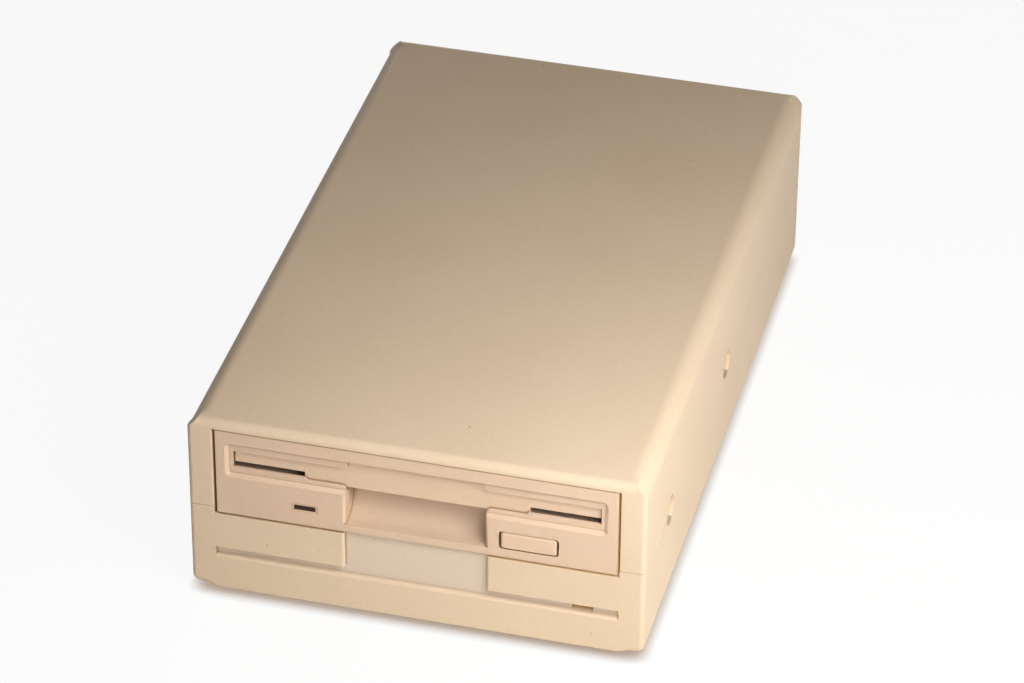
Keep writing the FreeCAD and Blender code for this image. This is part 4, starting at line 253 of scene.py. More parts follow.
def smoked_lens():
    """Smoked polycarbonate: dark brown and faintly cloudy, with a moulded skin that dulls its gloss."""
    material, tree, shader, coords = new_material("smoked_polycarbonate")
    cloud = add(tree, "TexNoise", {"Vector": coords, "Scale": per_mm(1.5), "Detail": 2.0}).outputs["Fac"]
    put(tree, shader, {"Base Color": tinted(tree, linear("#38241a"), [("#4c3426", cloud, 0.3, 0.7, 0.4)]),
                       "Roughness": 0.42, "IOR": 1.58, "Specular IOR Level": 0.08})
    return material


def foot_rubber():
    """Moulded rubber: dark and matt, with a fine pebbled skin and pale dust."""
    material, tree, shader, coords = new_material("moulded_rubber")
    dust = add(tree, "TexNoise", {"Vector": coords, "Scale": per_mm(2.5), "Detail": 4.0,
                                  "Roughness": 0.7}).outputs["Fac"]
    pebbles = add(tree, "TexNoise", {"Vector": coords, "Scale": per_mm(0.4), "Detail": 2.0}).outputs["Fac"]
    bump = add(tree, "Bump", {"Height": pebbles, "Strength": 0.6, "Distance": 0.03 * MM})
    put(tree, shader, {"Base Color": tinted(tree, linear("#2c2a28"), [("#5a554e", dust, 0.45, 0.75, 0.35)]),
                       "Normal": bump.outputs["Normal"], "Roughness": 0.82})
    return material


def matt_body(name, base_hex, shade_hex, roughness, size_mm=6.0):
    """Moulded plastic or pressed ferrite, with a fine matt skin and slight flow marks."""
    material, tree, shader, coords = new_material(name)
    flow = add(tree, "TexNoise", {"Vector": coords, "Scale": per_mm(size_mm), "Detail": 3.0}).outputs["Fac"]
    skin = add(tree, "TexNoise", {"Vector": coords, "Scale": per_mm(0.35), "Detail": 2.0}).outputs["Fac"]
    bump = add(tree, "Bump", {"Height": skin, "Strength": 0.4, "Distance": 0.01 * MM})
    put(tree, shader, {"Base Color": tinted(tree, linear(base_hex), [(shade_hex, flow, 0.3, 0.7, 0.6)]),
                       "Normal": bump.outputs["Normal"], "Roughness": roughness, "IOR": 1.5})
    return material


# ---------------------------------------------------------------- metals and boards

def worked_metal(name, base_hex, dull_hex, roughness, spangle_mm=5.0, brushed=False):
    """Metal with soft crystals of plating or with drawn lines, which change its colour and gloss a little.

    The lines run along Y, and are drawn coarser than real ones, so that they show.
    """
    material, tree, shader, coords = new_material(name)
    if brushed:
        stretch = add(tree, "Mapping", {"Vector": coords, "Scale": (1.0, 0.04, 1.0)})
        pattern = add(tree, "TexNoise", {"Vector": stretch.outputs["Vector"], "Scale": per_mm(0.3),
                                         "Detail": 3.0, "Roughness": 0.6}).outputs["Fac"]
    else:
        cells = add(tree, "TexVoronoi", {"Vector": coords, "Scale": per_mm(spangle_mm)})
        pattern = add(tree, "SeparateColor", {"Color": cells.outputs["Color"]}).outputs["Red"]
    gloss = add(tree, "MapRange", {"Value": pattern, "To Min": roughness - 0.06, "To Max": roughness + 0.08})
    put(tree, shader, {"Base Color": tinted(tree, linear(base_hex), [(dull_hex, pattern, 0.2, 0.8, 0.5)]),
                       "Roughness": gloss.outputs[0], "Metallic": 1.0})
    return material


def die_cast():
    """Die-cast aluminium: a dull grey skin with fine pits and soft flow marks."""
    material, tree, shader, coords = new_material("die_cast_aluminium")
    flow = add(tree, "TexNoise", {"Vector": coords, "Scale": per_mm(9.0), "Detail": 4.0}).outputs["Fac"]
    pits = add(tree, "TexNoise", {"Vector": coords, "Scale": per_mm(0.5), "Detail": 3.0}).outputs["Fac"]
    bump = add(tree, "Bump", {"Height": pits, "Strength": 0.5, "Distance": 0.03 * MM})
    put(tree, shader, {"Base Color": tinted(tree, linear("#a9a9a6"), [("#8f908e", flow, 0.3, 0.7, 1.0)]),
                       "Normal": bump.outputs["Normal"], "Roughness": 0.52, "Metallic": 1.0})
    return material


def circuit_board():
    """Green solder mask over glass cloth: the weave shows faintly, and copper runs lie a little lighter."""
    material, tree, shader, coords = new_material("solder_mask_board")
    weave = add(tree, "TexWave", {"Vector": coords, "Scale": per_mm(3.2), "Distortion": 0.6}).outputs["Fac"]
    runs = add(tree, "TexBrick", {"Vector": coords, "Scale": per_mm(7.0), "Mortar Size": 0.06})
    layers = [("#33643f", weave, 0.0, 1.0, 0.25), ("#4d8055", runs.outputs["Fac"], 0.0, 1.0, 0.5)]
    put(tree, shader, {"Base Color": tinted(tree, linear("#264f35"), layers),
                       "Roughness": 0.38, "IOR": 1.52})
    return material


MATERIALS = {
    "case_abs": lambda: moulded_abs("ivory_abs_case", "#dccab0", "#d7c4a8", roughness=0.50, grain_mm=0.55,
                                    grain_height_mm=0.010, pale_recess=True),
    "bezel_abs": lambda: moulded_abs("ivory_abs_bezel", "#d8c1a9", "#d3bba2", roughness=0.48, grain_mm=0.45,
                                     grain_height_mm=0.035, glow_from_mm=49.8),
    "button_abs": lambda: moulded_abs("ivory_abs_button", "#dbc4ab", "#d7bfa4", roughness=0.44, grain_mm=0.5,
                                      grain_height_mm=0.012, glow_from_mm=49.8),
    "dark_lens": smoked_lens,
    "foot_rubber": foot_rubber,
    "die_cast": die_cast,
    # rolled sheet dipped in zinc: pale grey, with faint large crystals
    "sheet_steel": lambda: worked_metal("zinc_plated_steel", "#b9bab6", "#9d9f9c", 0.34),
    # turned and plated: brighter, with fine lines
    "screw_steel": lambda: worked_metal("nickel_plated_steel", "#aeadab", "#8f8e8c", 0.26, brushed=True),
    # drawn wire: darker grey, with drawing lines
    "spring_steel": lambda: worked_metal("drawn_spring_wire", "#9a9b99", "#7f807e", 0.3, brushed=True),
    # pressed from powder: dull gold, finely grained
    "bronze": lambda: worked_metal("sintered_bronze", "#b08d57", "#8c6d40", 0.48, spangle_mm=0.8),
    "circuit_board": circuit_board,
    # short glass fibres in black nylon: a matt black skin
    "black_plastic": lambda: matt_body("glass_filled_nylon", "#222222", "#303030", 0.55),
    # uncoloured acetal: milky white, with a waxy gloss
    "white_plastic": lambda: matt_body("natural_acetal", "#dcd9cf", "#cfcbbe", 0.42),
    # pressed and fired: nearly black, smooth and small in grain
    "ferrite": lambda: matt_body("sintered_ferrite", "#3c3937", "#2c2a29", 0.36, size_mm=1.2),
    # varnished wire wound tightly: red-brown, with fine lines
    "copper_winding": lambda: worked_metal("enamelled_copper", "#b5663a", "#8c4a27", 0.35, brushed=True),
    # extruded cable covers: soft grey, and yellow for the power leads
    "ribbon_pvc": lambda: matt_body("flat_cable_pvc", "#8f9093", "#7f8083", 0.5, size_mm=3.0),
    "power_pvc": lambda: matt_body("wire_pvc", "#c9b23a", "#bba431", 0.46, size_mm=3.0),
}


def dress_nodes(made):
    """Gives every node of the frame the material of its slot."""
    slots = {part["node"]: part["material_slot"] for part in frame["record"]["subparts"]}
    for name, obj in frame["nodes"].items():
        obj.data.materials.clear()
        obj.data.materials.append(made[slots[name]])


# ---------------------------------------------------------------- softened copies of moulded pieces

MERGE = 0.002 * MM
PLANE_SLACK = 5 * MERGE
SAME_WAY = 0.9999
FLAT_ANGLE = math.radians(0.6)
SHARP_ANGLE = math.radians(24)
ROUNDING_SEGMENTS = 4
ROUNDING_ROOM = 2.1
TOP_LEAST_EDGE = 1.2 * MM
TOP_BEVEL = 3.0 * MM
TOP_END_CLEAR = 2.0 * MM
LINE_HALF_TURN = math.radians(22.5)
LINE_ROUND = 1.9 * MM
LINE_STEPS = (-0.15, 0.0, 0.2, 0.4, 0.6, 0.8)
LINE_FADE = 2.5 * MM
LINE_FADE_STEPS = (0.0, 0.25, 0.5, 0.75, 1.0)
NOTCH_HALF = 17.8 * MM
NOTCH_BAND = 1.0 * MM
SLACK = 0.1 * MM


def on_plane(work, at, outward):
    """The faces of a mesh that lie in one plane and look outwards."""
    return [face for face in work.faces if face.normal.dot(outward) > SAME_WAY
            and abs((face.verts[0].co - at).dot(outward)) < PLANE_SLACK]


def cut_plane(work, faces, at, across):
    """Cuts faces along a plane."""
    parts = set(faces)
    for face in faces:
        parts.update(face.edges)
        parts.update(face.verts)
    bmesh.ops.bisect_plane(work, geom=list(parts), dist=MERGE, plane_co=at, plane_no=across)


def round_top_lines(work):
    """Rounds the two long lines of the bevel on each side of the top.

    A point at the distance d from the line moves onto the arc of radius w / tan(22.5 deg) that touches both
    faces at the distance w, at the angle 22.5 deg (1 - d / w). The movement fades out towards the corners.
    """
    low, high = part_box("upper_shell")
    radius, slant = LINE_ROUND / math.tan(LINE_HALF_TURN), math.sqrt(0.5)
    front, back = low.y + TOP_END_CLEAR, high.y - TOP_END_CLEAR
    wings = []
    for side, edge_x in ((-1, low.x), (1, high.x)):
        inner = Vector((edge_x - side * TOP_BEVEL, 0, high.z))
        outer = Vector((edge_x, 0, high.z - TOP_BEVEL))
        bevel, down = Vector((side * slant, 0, slant)), Vector((side * slant, 0, -slant))
        wings += [(inner, Vector((0, 0, 1)), Vector((-side, 0, 0))), (inner, bevel, down),
                  (outer, bevel, -down), (outer, Vector((side, 0, 0)), Vector((0, 0, -1)))]
    for line, outward, along in wings:
        for step in LINE_STEPS:
            cut_plane(work, on_plane(work, line, outward), line + along * LINE_ROUND * (1 - step), along)
        for share in LINE_FADE_STEPS:
            for y in (front + share * LINE_FADE, back - share * LINE_FADE):
                cut_plane(work, on_plane(work, line, outward), Vector((0, y, 0)), Vector((0, 1, 0)))
    shifts = {}
    for line, outward, along in wings:
        for vert in {vert for face in on_plane(work, line, outward) for vert in face.verts}:
            distance = (vert.co - line).dot(along)
            if vert in shifts or not -MERGE < distance < LINE_ROUND:
                continue
            angle = LINE_HALF_TURN * (1 - distance / LINE_ROUND)
            sideways = LINE_ROUND - radius * math.sin(angle) - distance
            fade = min(max(min(vert.co.y - front, back - vert.co.y) / LINE_FADE, 0), 1)
            fade = fade * fade * (3 - 2 * fade)
            shifts[vert] = (along * sideways - outward * radius * (1 - math.cos(angle))) * fade
    for vert, shift in shifts.items():
        vert.co += shift


def notch_bands():
    """The upright edges at the two ends of the finger notch."""
    low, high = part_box("drive_bezel")
    return [((side * NOTCH_HALF - NOTCH_BAND, low.y - SLACK, low.z + NOTCH_BAND),
             (side * NOTCH_HALF + NOTCH_BAND, low.y + 2 * NOTCH_BAND, high.z)) for side in (-1, 1)]


def weigh_edges(work, narrow_share, wide, bands, least):
    """Marks each edge that turns by more than a limit: fully inside a band, and by a share elsewhere.

    An edge that meets another too short for its rounding stays sharp.
    """
    weights = work.edges.layers.float.new("bevel_weight_edge")
    for edge in work.edges:
        if len(edge.link_faces) != 2 or edge.calc_face_angle(0.0) < SHARP_ANGLE:
            continue
        inside = any(all(start[k] <= vert.co[k] <= stop[k] for vert in edge.verts for k in range(3))
                     for start, stop in bands)
        weight = 1.0 if inside else narrow_share
        shortest = min(near.calc_length() for vert in edge.verts for near in vert.link_edges)
        if shortest < max(ROUNDING_ROOM * weight * wide, least):
            edge.smooth = False
        else:
            edge[weights] = weight


def softened(node, body, material, narrow_mm, wide_mm, bands):
    """A moulded piece with rounded edges, made from its node's mesh.

    The loose triangles are merged and the flat ones joined into whole faces. Every edge that turns by more
    than a limit and has room is then rounded, widely along the given bands and narrowly elsewhere. The
    rounding is applied, and normals weighted by area keep large flats flat in shade.
    """
    is_top = node == "upper_shell"
    mesh = frame["nodes"][node].data.copy()
    mesh.name = node + "_soft"
    work = bmesh.new()
    work.from_mesh(mesh)
    bmesh.ops.remove_doubles(work, verts=work.verts, dist=MERGE)
    bmesh.ops.dissolve_degenerate(work, edges=work.edges, dist=MERGE)
    bmesh.ops.dissolve_limit(work, angle_limit=FLAT_ANGLE, verts=work.verts, edges=work.edges)
    if is_top:
        round_top_lines(work)
    for face in work.faces:
        face.smooth = True
    weigh_edges(work, narrow_mm / wide_mm, wide_mm * MM, bands, TOP_LEAST_EDGE if is_top else 0)
    work.to_mesh(mesh)
    work.free()
    mesh.materials.clear()
    mesh.materials.append(material)
    piece = bpy.data.objects.new(node + "_soft", mesh)
    bpy.context.scene.collection.objects.link(piece)
    rounding = piece.modifiers.new("rounding", "BEVEL")
    rounding.width = wide_mm * MM
    rounding.segments = ROUNDING_SEGMENTS
    rounding.limit_method = "WEIGHT"
    bpy.context.view_layer.update()
    rounded = bpy.data.meshes.new_from_object(piece.evaluated_get(bpy.context.evaluated_depsgraph_get()))
    piece.modifiers.clear()
    piece.data = rounded
    rounded.set_sharp_from_angle(angle=SHARP_ANGLE)
    even = piece.modifiers.new("even_flats", "WEIGHTED_NORMAL")
    even.mode = "FACE_AREA"
    even.weight = 100
    even.keep_sharp = True
    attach(piece, body)
    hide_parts(node)


def soften_pieces(made):
    """The pieces whose edges show, with the roundings in millimetres that their making gives."""
    notch = notch_bands()
    for node, body, slot, narrow_mm, wide_mm, bands in (
            ("upper_shell", "case", "case_abs", 0.30, 0.30, ()),
            ("lower_shell", "case", "case_abs", 0.30, 0.30, ()),
            ("drive_bezel", "case", "bezel_abs", 0.20, 0.42, notch),
            ("dust_flap", "flap", "button_abs", 0.20, 0.20, ()),
            ("eject_button", "ejector", "button_abs", 0.42, 0.42, ()),
            ("led_lens", "case", "dark_lens", 0.12, 0.12, ()),
            ("rubber_feet", "case", "foot_rubber", 0.35, 0.35, ()),
            ("connector_shell", "case", "sheet_steel", 0.12, 0.12, ())):
        softened(node, body, made[slot], narrow_mm, wide_mm, bands)


# ---------------------------------------------------------------- surfaces on a grid

GRID_SHARP_ANGLE = math.radians(35)
GRID_MERGE = 0.01 * MERGE


def grid_quads(rows, columns):
    """The quads of a grid of points, numbered row by row, whose columns close into a ring."""
    i, j = np.arange(rows - 1)[:, None], np.arange(columns)[None, :]
    beside = (j + 1) % columns
    corners = (i * columns + j, i * columns + beside, (i + 1) * columns + beside, (i + 1) * columns + j)
    return np.stack(np.broadcast_arrays(*corners), -1).reshape(-1, 4)


def piece_of(name, grids, body, material, nodes=()):
    """One piece made of grids whose columns close. Equal points merge, which seals the poles at the ends."""
    points = np.concatenate([grid.reshape(-1, 3) for grid in grids])
    starts = np.cumsum([0] + [grid.shape[0] * grid.shape[1] for grid in grids[:-1]])
    quads = np.concatenate([grid_quads(*grid.shape[:2]) + start for grid, start in zip(grids, starts)])
    mesh = bpy.data.meshes.new(name)
    mesh.from_pydata(points.tolist(), [], quads.tolist())
    work = bmesh.new()
    work.from_mesh(mesh)
    bmesh.ops.remove_doubles(work, verts=work.verts, dist=GRID_MERGE)
    bmesh.ops.recalc_face_normals(work, faces=work.faces)
    work.to_mesh(mesh)
    work.free()
    mesh.shade_smooth()
    mesh.set_sharp_from_angle(angle=GRID_SHARP_ANGLE)
    mesh.materials.append(material)
    piece = bpy.data.objects.new(name, mesh)
    bpy.context.scene.collection.objects.link(piece)
    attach(piece, body)
    if nodes:
        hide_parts(*nodes)
    return piece


def solids(node):
    """The corner points of each separate solid of a node."""
    work = bmesh.new()
    work.from_mesh(frame["nodes"][node].data)
    bmesh.ops.remove_doubles(work, verts=work.verts, dist=MERGE)
    left, found = set(work.verts), []
    while left:
        open_ends, solid = [left.pop()], []
        while open_ends:
            vert = open_ends.pop()
            solid.append(tuple(vert.co))
            near = {edge.other_vert(vert) for edge in vert.link_edges} & left
            left -= near
            open_ends += near
        found.append(np.array(solid))
    work.free()
    return sorted(found, key=lambda solid: tuple(solid.mean(0).round(5)))


def ring_angles(sides):
    """The angles of points spread evenly round a full turn, as one row."""
    return np.linspace(0, 2 * math.pi, sides, endpoint=False)[None, :]


def turned_grid(axis, centre, radius, along, turns):
    """A turned surface: its points lie at a radius and a place on the axis, at each turning angle."""
    first, second = (axis + 1) % 3, (axis + 2) % 3
    across = radius * np.cos(turns)
    points = np.empty(across.shape + (3,))
    points[..., first] = centre[first] + across
    points[..., second] = centre[second] + radius * np.sin(turns)
    points[..., axis] = along
    return points


# ---------------------------------------------------------------- mouldings of the front

BOTTOM_ROUND = 2.8 * MM
FRONT_EDGE_ROUND = 0.8 * MM
EDGE_FADE = 4.5 * MM
EDGE_FADE_ROWS = 10
EDGE_ARC_POINTS = 9
EDGE_SINK = 0.05 * MM


def front_bottom_edge(made):
    """The crisp lower edge of the front, which the shell's solid has rounder.

    Across, the outline follows the front down, turns through a small arc, follows the bottom back and closes
    along the shell's own larger arc. Along X, the small arc's radius grows to the larger one at both ends.
    """
    low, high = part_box("lower_shell")
    end = high.x - BOTTOM_ROUND
    along = np.concatenate([np.linspace(-end, -end + EDGE_FADE, EDGE_FADE_ROWS),
                            np.linspace(end - EDGE_FADE, end, EDGE_FADE_ROWS)])[:, None]
    fade = np.clip((abs(along) - end + EDGE_FADE) / EDGE_FADE, 0, 1)
    small = FRONT_EDGE_ROUND + (BOTTOM_ROUND - FRONT_EDGE_ROUND) * fade * fade * (3 - 2 * fade)
    quarter = np.linspace(0, math.pi / 2, EDGE_ARC_POINTS)
    angles = np.concatenate([[0], quarter, [math.pi / 2]])[None, :]
    y = low.y + small * (1 - np.cos(angles))
    z = low.z + small * (1 - np.sin(angles))
    z[:, 0], y[:, -1] = low.z + BOTTOM_ROUND, low.y + BOTTOM_ROUND
    sunk = BOTTOM_ROUND - EDGE_SINK * (1 - fade) * np.sin(2 * angles)
    back_y = low.y + BOTTOM_ROUND - sunk * np.cos(angles)
    back_z = low.z + BOTTOM_ROUND - sunk * np.sin(angles)
    y, z = np.concatenate([y, back_y[:, ::-1]], 1), np.concatenate([z, back_z[:, ::-1]], 1)
    grid = np.stack([along * np.ones_like(y), y, z], -1)
    piece_of("front_bottom_edge", [grid], "case", made["case_abs"])


LENS_W, LENS_H = 5.4 * MM, 1.35 * MM
LENS_DEPTH = 0.6 * MM
CORNER_POINTS = 12
FRAME_CORNER_MM, FACE_CORNER_MM = 0.14, 0.12
# growth beyond the lens's edge and depth behind the face, both in millimetres
FRAME_STEPS = ((0.04, 0.55), (0.04, 0.14), (0.09, 0.06), (0.36, 0.06), (0.42, 0.12), (0.42, 0.50),
               (0.04, 0.55))
FACE_STEPS = ((-2.0, 0.70), (0.0, 0.70), (0.0, 0.20), (-0.08, 0.12), (-0.3, 0.09), (-2.0, 0.09))


def rounded_steps(centre, face, steps, corner_mm):
    """Rounded rectangles round one centre, each grown from the lens's size and set back by its depth.

    A point at the angle t lies at the corner of a smaller rectangle, on t's side, plus r (cos t, sin t).
    """
    turns = (np.arange(4 * CORNER_POINTS) + 0.5) * math.pi / (2 * CORNER_POINTS)
    rows = []
    for grown, depth in steps:
        half_w, half_h = max(LENS_W / 2 + grown * MM, 0.0), max(LENS_H / 2 + grown * MM, 0.0)
        corner = min(corner_mm * MM, half_w, half_h)
        x = centre.x + np.sign(np.cos(turns)) * (half_w - corner) + corner * np.cos(turns)
        z = centre.z + np.sign(np.sin(turns)) * (half_h - corner) + corner * np.sin(turns)
        rows.append(np.stack([x, np.full_like(x, face + depth * MM), z], -1))
    return np.stack(rows)


def indicator(made):
    """The flat frame round the indicator, and the indicator's raised face."""
    low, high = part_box("led_lens")
    centre, face = (low + high) / 2, low.y - LENS_DEPTH
    for name, slot, steps, corner_mm in (("indicator_frame", "bezel_abs", FRAME_STEPS, FRAME_CORNER_MM),
                                         ("indicator_face", "dark_lens", FACE_STEPS, FACE_CORNER_MM)):
        piece_of(name, [rounded_steps(centre, face, steps, corner_mm)], "case", made[slot])


# ---------------------------------------------------------------- screws and threads

SCREW_SIDES = 36
SCREW_PITCH = 0.6 * MM
ROWS_A_PITCH, LEAST_ROWS = 5, 4
THREAD_SHARE = 0.06
# shares of the head's radius
HEAD_RINGS = (0, 0.06, 0.12, 0.2, 0.3, 0.4, 0.5, 0.58, 0.66, 0.78, 0.9, 0.97, 1.0)
HEAD_FROM, CROSS_ARM, CROSS_REACH = 0.9, 0.16, 0.64
# shares of the arm's half width and of its reach over which the recess gets shallow
CROSS_WALL, CROSS_END = 0.5, 0.25
# shares of the head's height
DOME_SHARE, CROSS_DEPTH = 0.22, 0.5
# shares of the shank's radius
TIP_TAPER, TIP_SHARE = 0.5, 0.55


def screw_surface(solid, axis):
    """A pan-head screw with a cross recess and a rolled thread, in the place of one solid.

    Rows run from the middle of the head's top to the shank's tip. On top, height is a low dome less the
    recess, which is deep where the distance to the nearer of two crossed lines is under the arm's half width
    and fades out at the arm's reach. On the shank, the radius swings with the cosine of the place along it
    plus the turning angle.
    """
    centre = (solid.min(0) + solid.max(0)) / 2
    off_axis = np.delete(solid - centre, axis, 1)
    reach = np.hypot(*off_axis.T)
    place = solid[:, axis]
    head = reach > HEAD_FROM * reach.max()
    from_top = abs(place[head].mean() - place.max()) < abs(place[head].mean() - place.min())
    start, sign = (place.max(), -1) if from_top else (place.min(), 1)
    depth = sign * (place - start)
    head_h, length = depth[head].max(), depth.max()
    head_r = np.abs(off_axis[head]).max(0).min()
    shank_r = np.abs(off_axis[depth > head_h + MERGE]).max(0).min()
    turns = ring_angles(SCREW_SIDES)
    flat = np.ones_like(turns)

    rings = np.array(HEAD_RINGS)[:, None] * head_r
    dome = DOME_SHARE * head_h * (rings / head_r) ** 2
    nearest = np.minimum(abs(rings * np.sin(turns)), abs(rings * np.cos(turns)))
    arm, arm_reach = CROSS_ARM * head_r, CROSS_REACH * head_r
    recess = np.clip((arm - nearest) / (CROSS_WALL * arm), 0, 1)
    recess = recess * np.clip((arm_reach - rings) / (CROSS_END * arm_reach), 0, 1)
    top = dome + CROSS_DEPTH * head_h * recess

    rows = max(LEAST_ROWS, int(ROWS_A_PITCH * (length - head_h) / SCREW_PITCH))
    down = np.linspace(head_h, length - TIP_TAPER * shank_r, rows)[:, None]
    shank = shank_r * (1 - THREAD_SHARE * (1 + np.cos(2 * math.pi * down / SCREW_PITCH + turns)))
    tip = TIP_SHARE * shank_r * flat
    radius = np.concatenate([rings * flat, head_r * flat, shank_r * flat, shank, tip, 0 * flat])
    along = np.concatenate([top, head_h * flat, head_h * flat, down * flat, length * flat, length * flat])
    return turned_grid(axis, centre, radius, start + sign * along, turns)


def screws(made):
    """All machine screws, one piece for each group, with cross-recessed heads."""
    for node, axis in (("case_screws", 2), ("drive_screws", 2), ("interface_board_screws", 2),
                       ("logic_board_screws", 2), ("cover_screws", None)):
        grids = []
        for solid in solids(node):
            size = np.ptp(solid, axis=0)
            grids.append(screw_surface(solid, int(size.argmax()) if axis is None else axis))
        piece_of(node + "_crosshead", grids, "case", made["screw_steel"], [node])


LEAD = 3.75 * MM
STARTS = 3
THREAD_DEPTH = 0.32 * MM
GROOVE_SLOPE = 1.4
PLAIN_END = 1.0 * MM
LEAD_SCREW_SIDES, LEAD_SCREW_ROWS = 30, 260


def lead_screw_thread(made):
    """The lead screw: its radius drops in three helical grooves, which turn once in each lead.

    The groove is a cosine of three times the turning angle, cut off so that bottoms and crests are flat.
    """
    low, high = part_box("lead_screw")
    radius, centre = (high.x - low.x) / 2, (low + high) / 2
    turns = ring_angles(LEAD_SCREW_SIDES)
    along = np.linspace(low.y, high.y, LEAD_SCREW_ROWS)[:, None]
    wave = np.cos(STARTS * (turns - 2 * math.pi * along / LEAD))
    groove = np.clip(0.5 - GROOVE_SLOPE * wave, 0, 1)
    threaded = np.minimum(along - low.y, high.y - along) > PLAIN_END
    rows = np.concatenate([0 * turns, radius - THREAD_DEPTH * groove * threaded, 0 * turns])
    places = np.concatenate([along[:1], along, along[-1:]]) * np.ones_like(turns)
    piece_of("lead_screw_thread", [turned_grid(1, centre, rows, places, turns)], "worm",
             made["screw_steel"], ["lead_screw"])


# ---------------------------------------------------------------- springs

CLOSED_TURNS = 0.55
COIL_ROWS_A_TURN, WIRE_SIDES = 18, 8
# node, body, axis of the coil, wire in millimetres, turns
SPRINGS = (
    ("slide_springs", "case", 1, 0.45, 17),
    ("flap_spring", "flap", 0, 0.4, 7),
    ("shutter_spring", "carrier", 2, 0.46, 2.2),
    ("arm_spring", "carriage", 0, 0.46, 6),
)


def coil_surface(solid, axis, wire, turns):
    """Round wire wound in a helix that fills one solid: a circle carried along a helix.

    The place along the axis rises evenly, less at both ends, where the coils lie against each other.
    """
    low, high = solid.min(0), solid.max(0)
    mean_r = np.delete(high - low, axis).min() / 2 - wire / 2
    steps = np.linspace(0, 1, int(COIL_ROWS_A_TURN * turns))
    share = CLOSED_TURNS / turns
    open_part = np.clip((steps - share) / (1 - 2 * share), 0, 1)
    flat = wire * CLOSED_TURNS
    rise = (np.clip(steps, 0, share) + np.clip(steps - 1 + share, 0, share)) / share * flat
    room = high[axis] - low[axis] - wire - 2 * flat
    along = low[axis] + wire / 2 + rise + max(room, 0.0) * open_part
    angle = (2 * math.pi * turns * steps)[:, None]
    around_wire = ring_angles(WIRE_SIDES)
    thick = np.full_like(steps, wire / 2)
    thick[[0, -1]] = 0.0
    radius = mean_r + thick[:, None] * np.cos(around_wire)
    place = along[:, None] + thick[:, None] * np.sin(around_wire)
    return turned_grid(axis, (low + high) / 2, radius, place, angle)


def springs(made):
    """Every spring of the drive, wound in the space that its stand-in fills."""
    for node, body, axis, wire_mm, turns in SPRINGS:
        grids = [coil_surface(solid, axis, wire_mm * MM, turns) for solid in solids(node)]
        coil = piece_of(node + "_coil", grids, body, made["spring_steel"], [node])
        if node == "slide_springs":
            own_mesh(coil)


# ---------------------------------------------------------------- connector and chips

CONTACT_PITCH = 2.77 * MM
CONTACT_ROWS = 2.84 * MM
CONTACTS = ((0.5, 19), (-0.5, 18))
CONTACT_SIDES = 16
# radius and height of each point of a turned outline, in millimetres
RING_OUTLINE = ((0, 0), (1.05, 0), (1.05, 0.16), (0.98, 0.22), (0.78, 0.22), (0.68, 0.14), (0.66, 0.04),
                (0, 0.04))
RIM_OUTLINE = ((0, 0.05), (0.64, 0.05), (0.64, 0.13), (0.56, 0.15), (0.48, 0.12), (0.46, 0.06), (0, 0.06))


def contact_places():
    """The middles of the 37 contacts: 19 in the upper row and 18 between them in the lower row."""
    face_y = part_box("connector_body")[1].y
    shell_low, shell_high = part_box("connector_shell")
    middle = (shell_low.z + shell_high.z) / 2
    return [((n - (count - 1) / 2) * CONTACT_PITCH, face_y, middle + row * CONTACT_ROWS)
            for row, count in CONTACTS for n in range(count)]


def rear_contacts(made):
    """A raised ring round each hole of the socket, and the gilt rim of the contact inside it.

    Each is a turned profile: up the outside, over the ring and down inside, where it closes on its middle.
    """
    turns = ring_angles(CONTACT_SIDES)
    for name, slot, outline in (("socket_rings", "black_plastic", RING_OUTLINE),
                                ("socket_contacts", "bronze", RIM_OUTLINE)):
        radius, height = (column[:, None] * MM * np.ones_like(turns) for column in np.array(outline).T)
        grids = [turned_grid(1, at, radius, at[1] + height, turns) for at in contact_places()]
        piece_of(name, grids, "case", made[slot])


LEG_PITCH = 1.0 * MM
LEG_HALF = 0.18 * MM
LEGS_A_SIDE = 10
# steps out from the body and from its face away from the board, in millimetres
LEG_OUTLINE = ((0.0, 0.75), (0.45, 0.75), (0.55, 0.15), (1.1, 0.15), (1.1, 0.0), (0.42, 0.0), (0.32, 0.6),
               (0.0, 0.6))


def chip_legs(made):
    """Gull-wing legs of the chips, each a bent strip.

    Each row of the grid is the outline at one side of the strip, so a leg is a row of walls, closed at both
    sides by rows drawn together to a point.
    """
    outline = np.array(LEG_OUTLINE) * MM
    grids = []
    for chip in solids("board_chips"):
        low, high = chip.min(0), chip.max(0)
        centre, reach = (low + high) / 2, (high - low) / 2
        for axis, side in ((0, -1), (0, 1), (1, -1), (1, 1)):
            for n in range(LEGS_A_SIDE):
                shift = (n - (LEGS_A_SIDE - 1) / 2) * LEG_PITCH
                leg = np.empty((4, len(outline), 3))
                leg[..., axis] = centre[axis] + side * (reach[axis] + outline[:, 0])
                leg[..., 2] = high[2] - outline[:, 1]
                leg[..., 1 - axis] = centre[1 - axis] + shift + LEG_HALF * np.array([-1, -1, 1, 1])[:, None]
                leg[[0, 3]] = leg[[0, 3]].mean(1, keepdims=True)
                grids.append(leg)
    piece_of("chip_legs", grids, "case", made["screw_steel"])


# ---------------------------------------------------------------- studio

WHITE = (1.0, 1.0, 1.0, 1.0)
PAPER_COLOUR = "#f2f0ec"
PAPER_WHITE_SHARE = 0.93
CONTACT_SHADE = "#b09c8a"
CONTACT_SHADE_MM = 3.5
FLOOR_Z = -0.05 * MM
FLOOR_RADIUS = 6.0
FLOOR_SIDES = 96
ROOM_COLOUR = "#ffdfb4"
ROOM_LIGHT = 0.08
LIT_POINT = Vector((0.0, -0.03, 0.02))
LAMP_COLOUR = "#fffaf8"
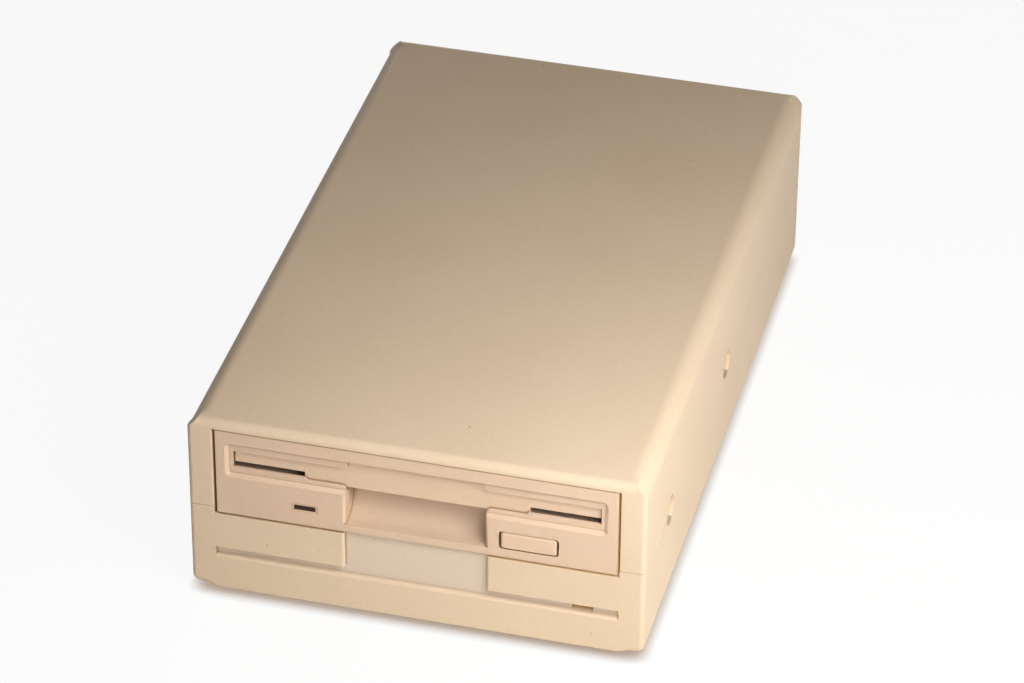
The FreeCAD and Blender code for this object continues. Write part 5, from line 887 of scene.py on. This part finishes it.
# name, azimuth from the front and elevation in degrees, distance, size, watts
LAMPS = (
    ("key", 38, 40, 0.29, 0.16, 0.74),
    ("side", 84, 24, 0.40, 0.16, 0.50),
    ("front_fill", -14, 16, 1.0, 0.40, 1.35),
    ("rear_fill", -160, 3, 1.0, 0.12, 2.2),
)


def seen_directly(tree):
    """1 for rays from the camera, in gloss and through clear things, and 0 for those that give light."""
    path = add(tree, "LightPath")
    seen = path.outputs["Is Camera Ray"]
    for ray in ("Is Glossy Ray", "Is Transmission Ray"):
        seen = add(tree, "Math", {0: seen, 1: path.outputs[ray]}, operation="MAXIMUM").outputs[0]
    return seen


def pale_ground():
    """White paper: it shows as white to the camera and in gloss, and keeps the object's shadows."""
    material = bpy.data.materials.new("white_paper")
    material.use_nodes = True
    tree = material.node_tree
    tree.nodes.clear()
    paper = add(tree, "BsdfDiffuse", {"Color": linear(PAPER_COLOUR)})
    # a painted contact shadow: the emitted white darkens towards CONTACT_SHADE close under the object
    near = occluded(tree, CONTACT_SHADE_MM, open_at=0.95, closed_at=0.35)
    white = add(tree, "Emission", {"Color": tinted(tree, WHITE, [(CONTACT_SHADE, near, 0.0, 1.0, 1.0)]),
                                   "Strength": 1.0})
    share = add(tree, "Math", {0: seen_directly(tree), 1: PAPER_WHITE_SHARE}, operation="MULTIPLY")
    mixed = add(tree, "MixShader", {0: share.outputs[0], 1: paper.outputs[0], 2: white.outputs[0]})
    add(tree, "OutputMaterial", {"Surface": mixed.outputs[0]})
    return material


def floor():
    """A round floor, large enough to fill every view."""
    turns = np.linspace(0, 2 * math.pi, FLOOR_SIDES, endpoint=False)
    height = np.full_like(turns, FLOOR_Z)
    points = np.stack([FLOOR_RADIUS * np.cos(turns), FLOOR_RADIUS * np.sin(turns), height], 1)
    mesh = bpy.data.meshes.new("floor")
    mesh.from_pydata(points.tolist(), [], [list(range(len(points)))])
    mesh.materials.append(pale_ground())
    ground = bpy.data.objects.new("floor", mesh)
    bpy.context.scene.collection.objects.link(ground)


def seen_from(azimuth, elevation, distance):
    """The point at a distance from the lit point, round from the front to the right and up."""
    turn, rise = math.radians(azimuth), math.radians(elevation)
    level = distance * math.cos(rise)
    return LIT_POINT + Vector((level * math.sin(turn), -level * math.cos(turn), distance * math.sin(rise)))


def lamp(name, at, size, power):
    """A square soft lamp, aimed at the lit point."""
    data = bpy.data.lights.new(name, "AREA")
    data.size = size
    data.energy = power
    data.color = linear(LAMP_COLOUR)[:3]
    light = bpy.data.objects.new(name, data)
    aim = (LIT_POINT - at).to_track_quat("-Z", "Y").to_matrix().to_4x4()
    light.matrix_world = Matrix.Translation(at) @ aim
    bpy.context.scene.collection.objects.link(light)


def studio():
    """White surroundings that light the object warmly, two near lamps on the right and two weak fills."""
    world = bpy.data.worlds.new("studio")
    bpy.context.scene.world = world
    world.use_nodes = True
    tree = world.node_tree
    tree.nodes.clear()
    seen = seen_directly(tree)
    room = tinted(tree, linear(ROOM_COLOUR), [("#ffffff", seen, 0.0, 1.0, 1.0)])
    strength = add(tree, "MapRange", {"Value": seen, "To Min": ROOM_LIGHT})
    background = add(tree, "Background", {"Color": room, "Strength": strength.outputs[0]})
    add(tree, "OutputWorld", {"Surface": background.outputs[0]})
    for name, azimuth, elevation, distance, size, power in LAMPS:
        lamp(name, seen_from(azimuth, elevation, distance), size, power)
    bpy.context.scene.view_settings.view_transform = "Standard"


# ---------------------------------------------------------------- the whole

place_camera()
made_materials = {slot: make() for slot, make in MATERIALS.items()}
dress_nodes(made_materials)
soften_pieces(made_materials)
front_bottom_edge(made_materials)
indicator(made_materials)
screws(made_materials)
lead_screw_thread(made_materials)
springs(made_materials)
rear_contacts(made_materials)
chip_legs(made_materials)
floor()
studio()
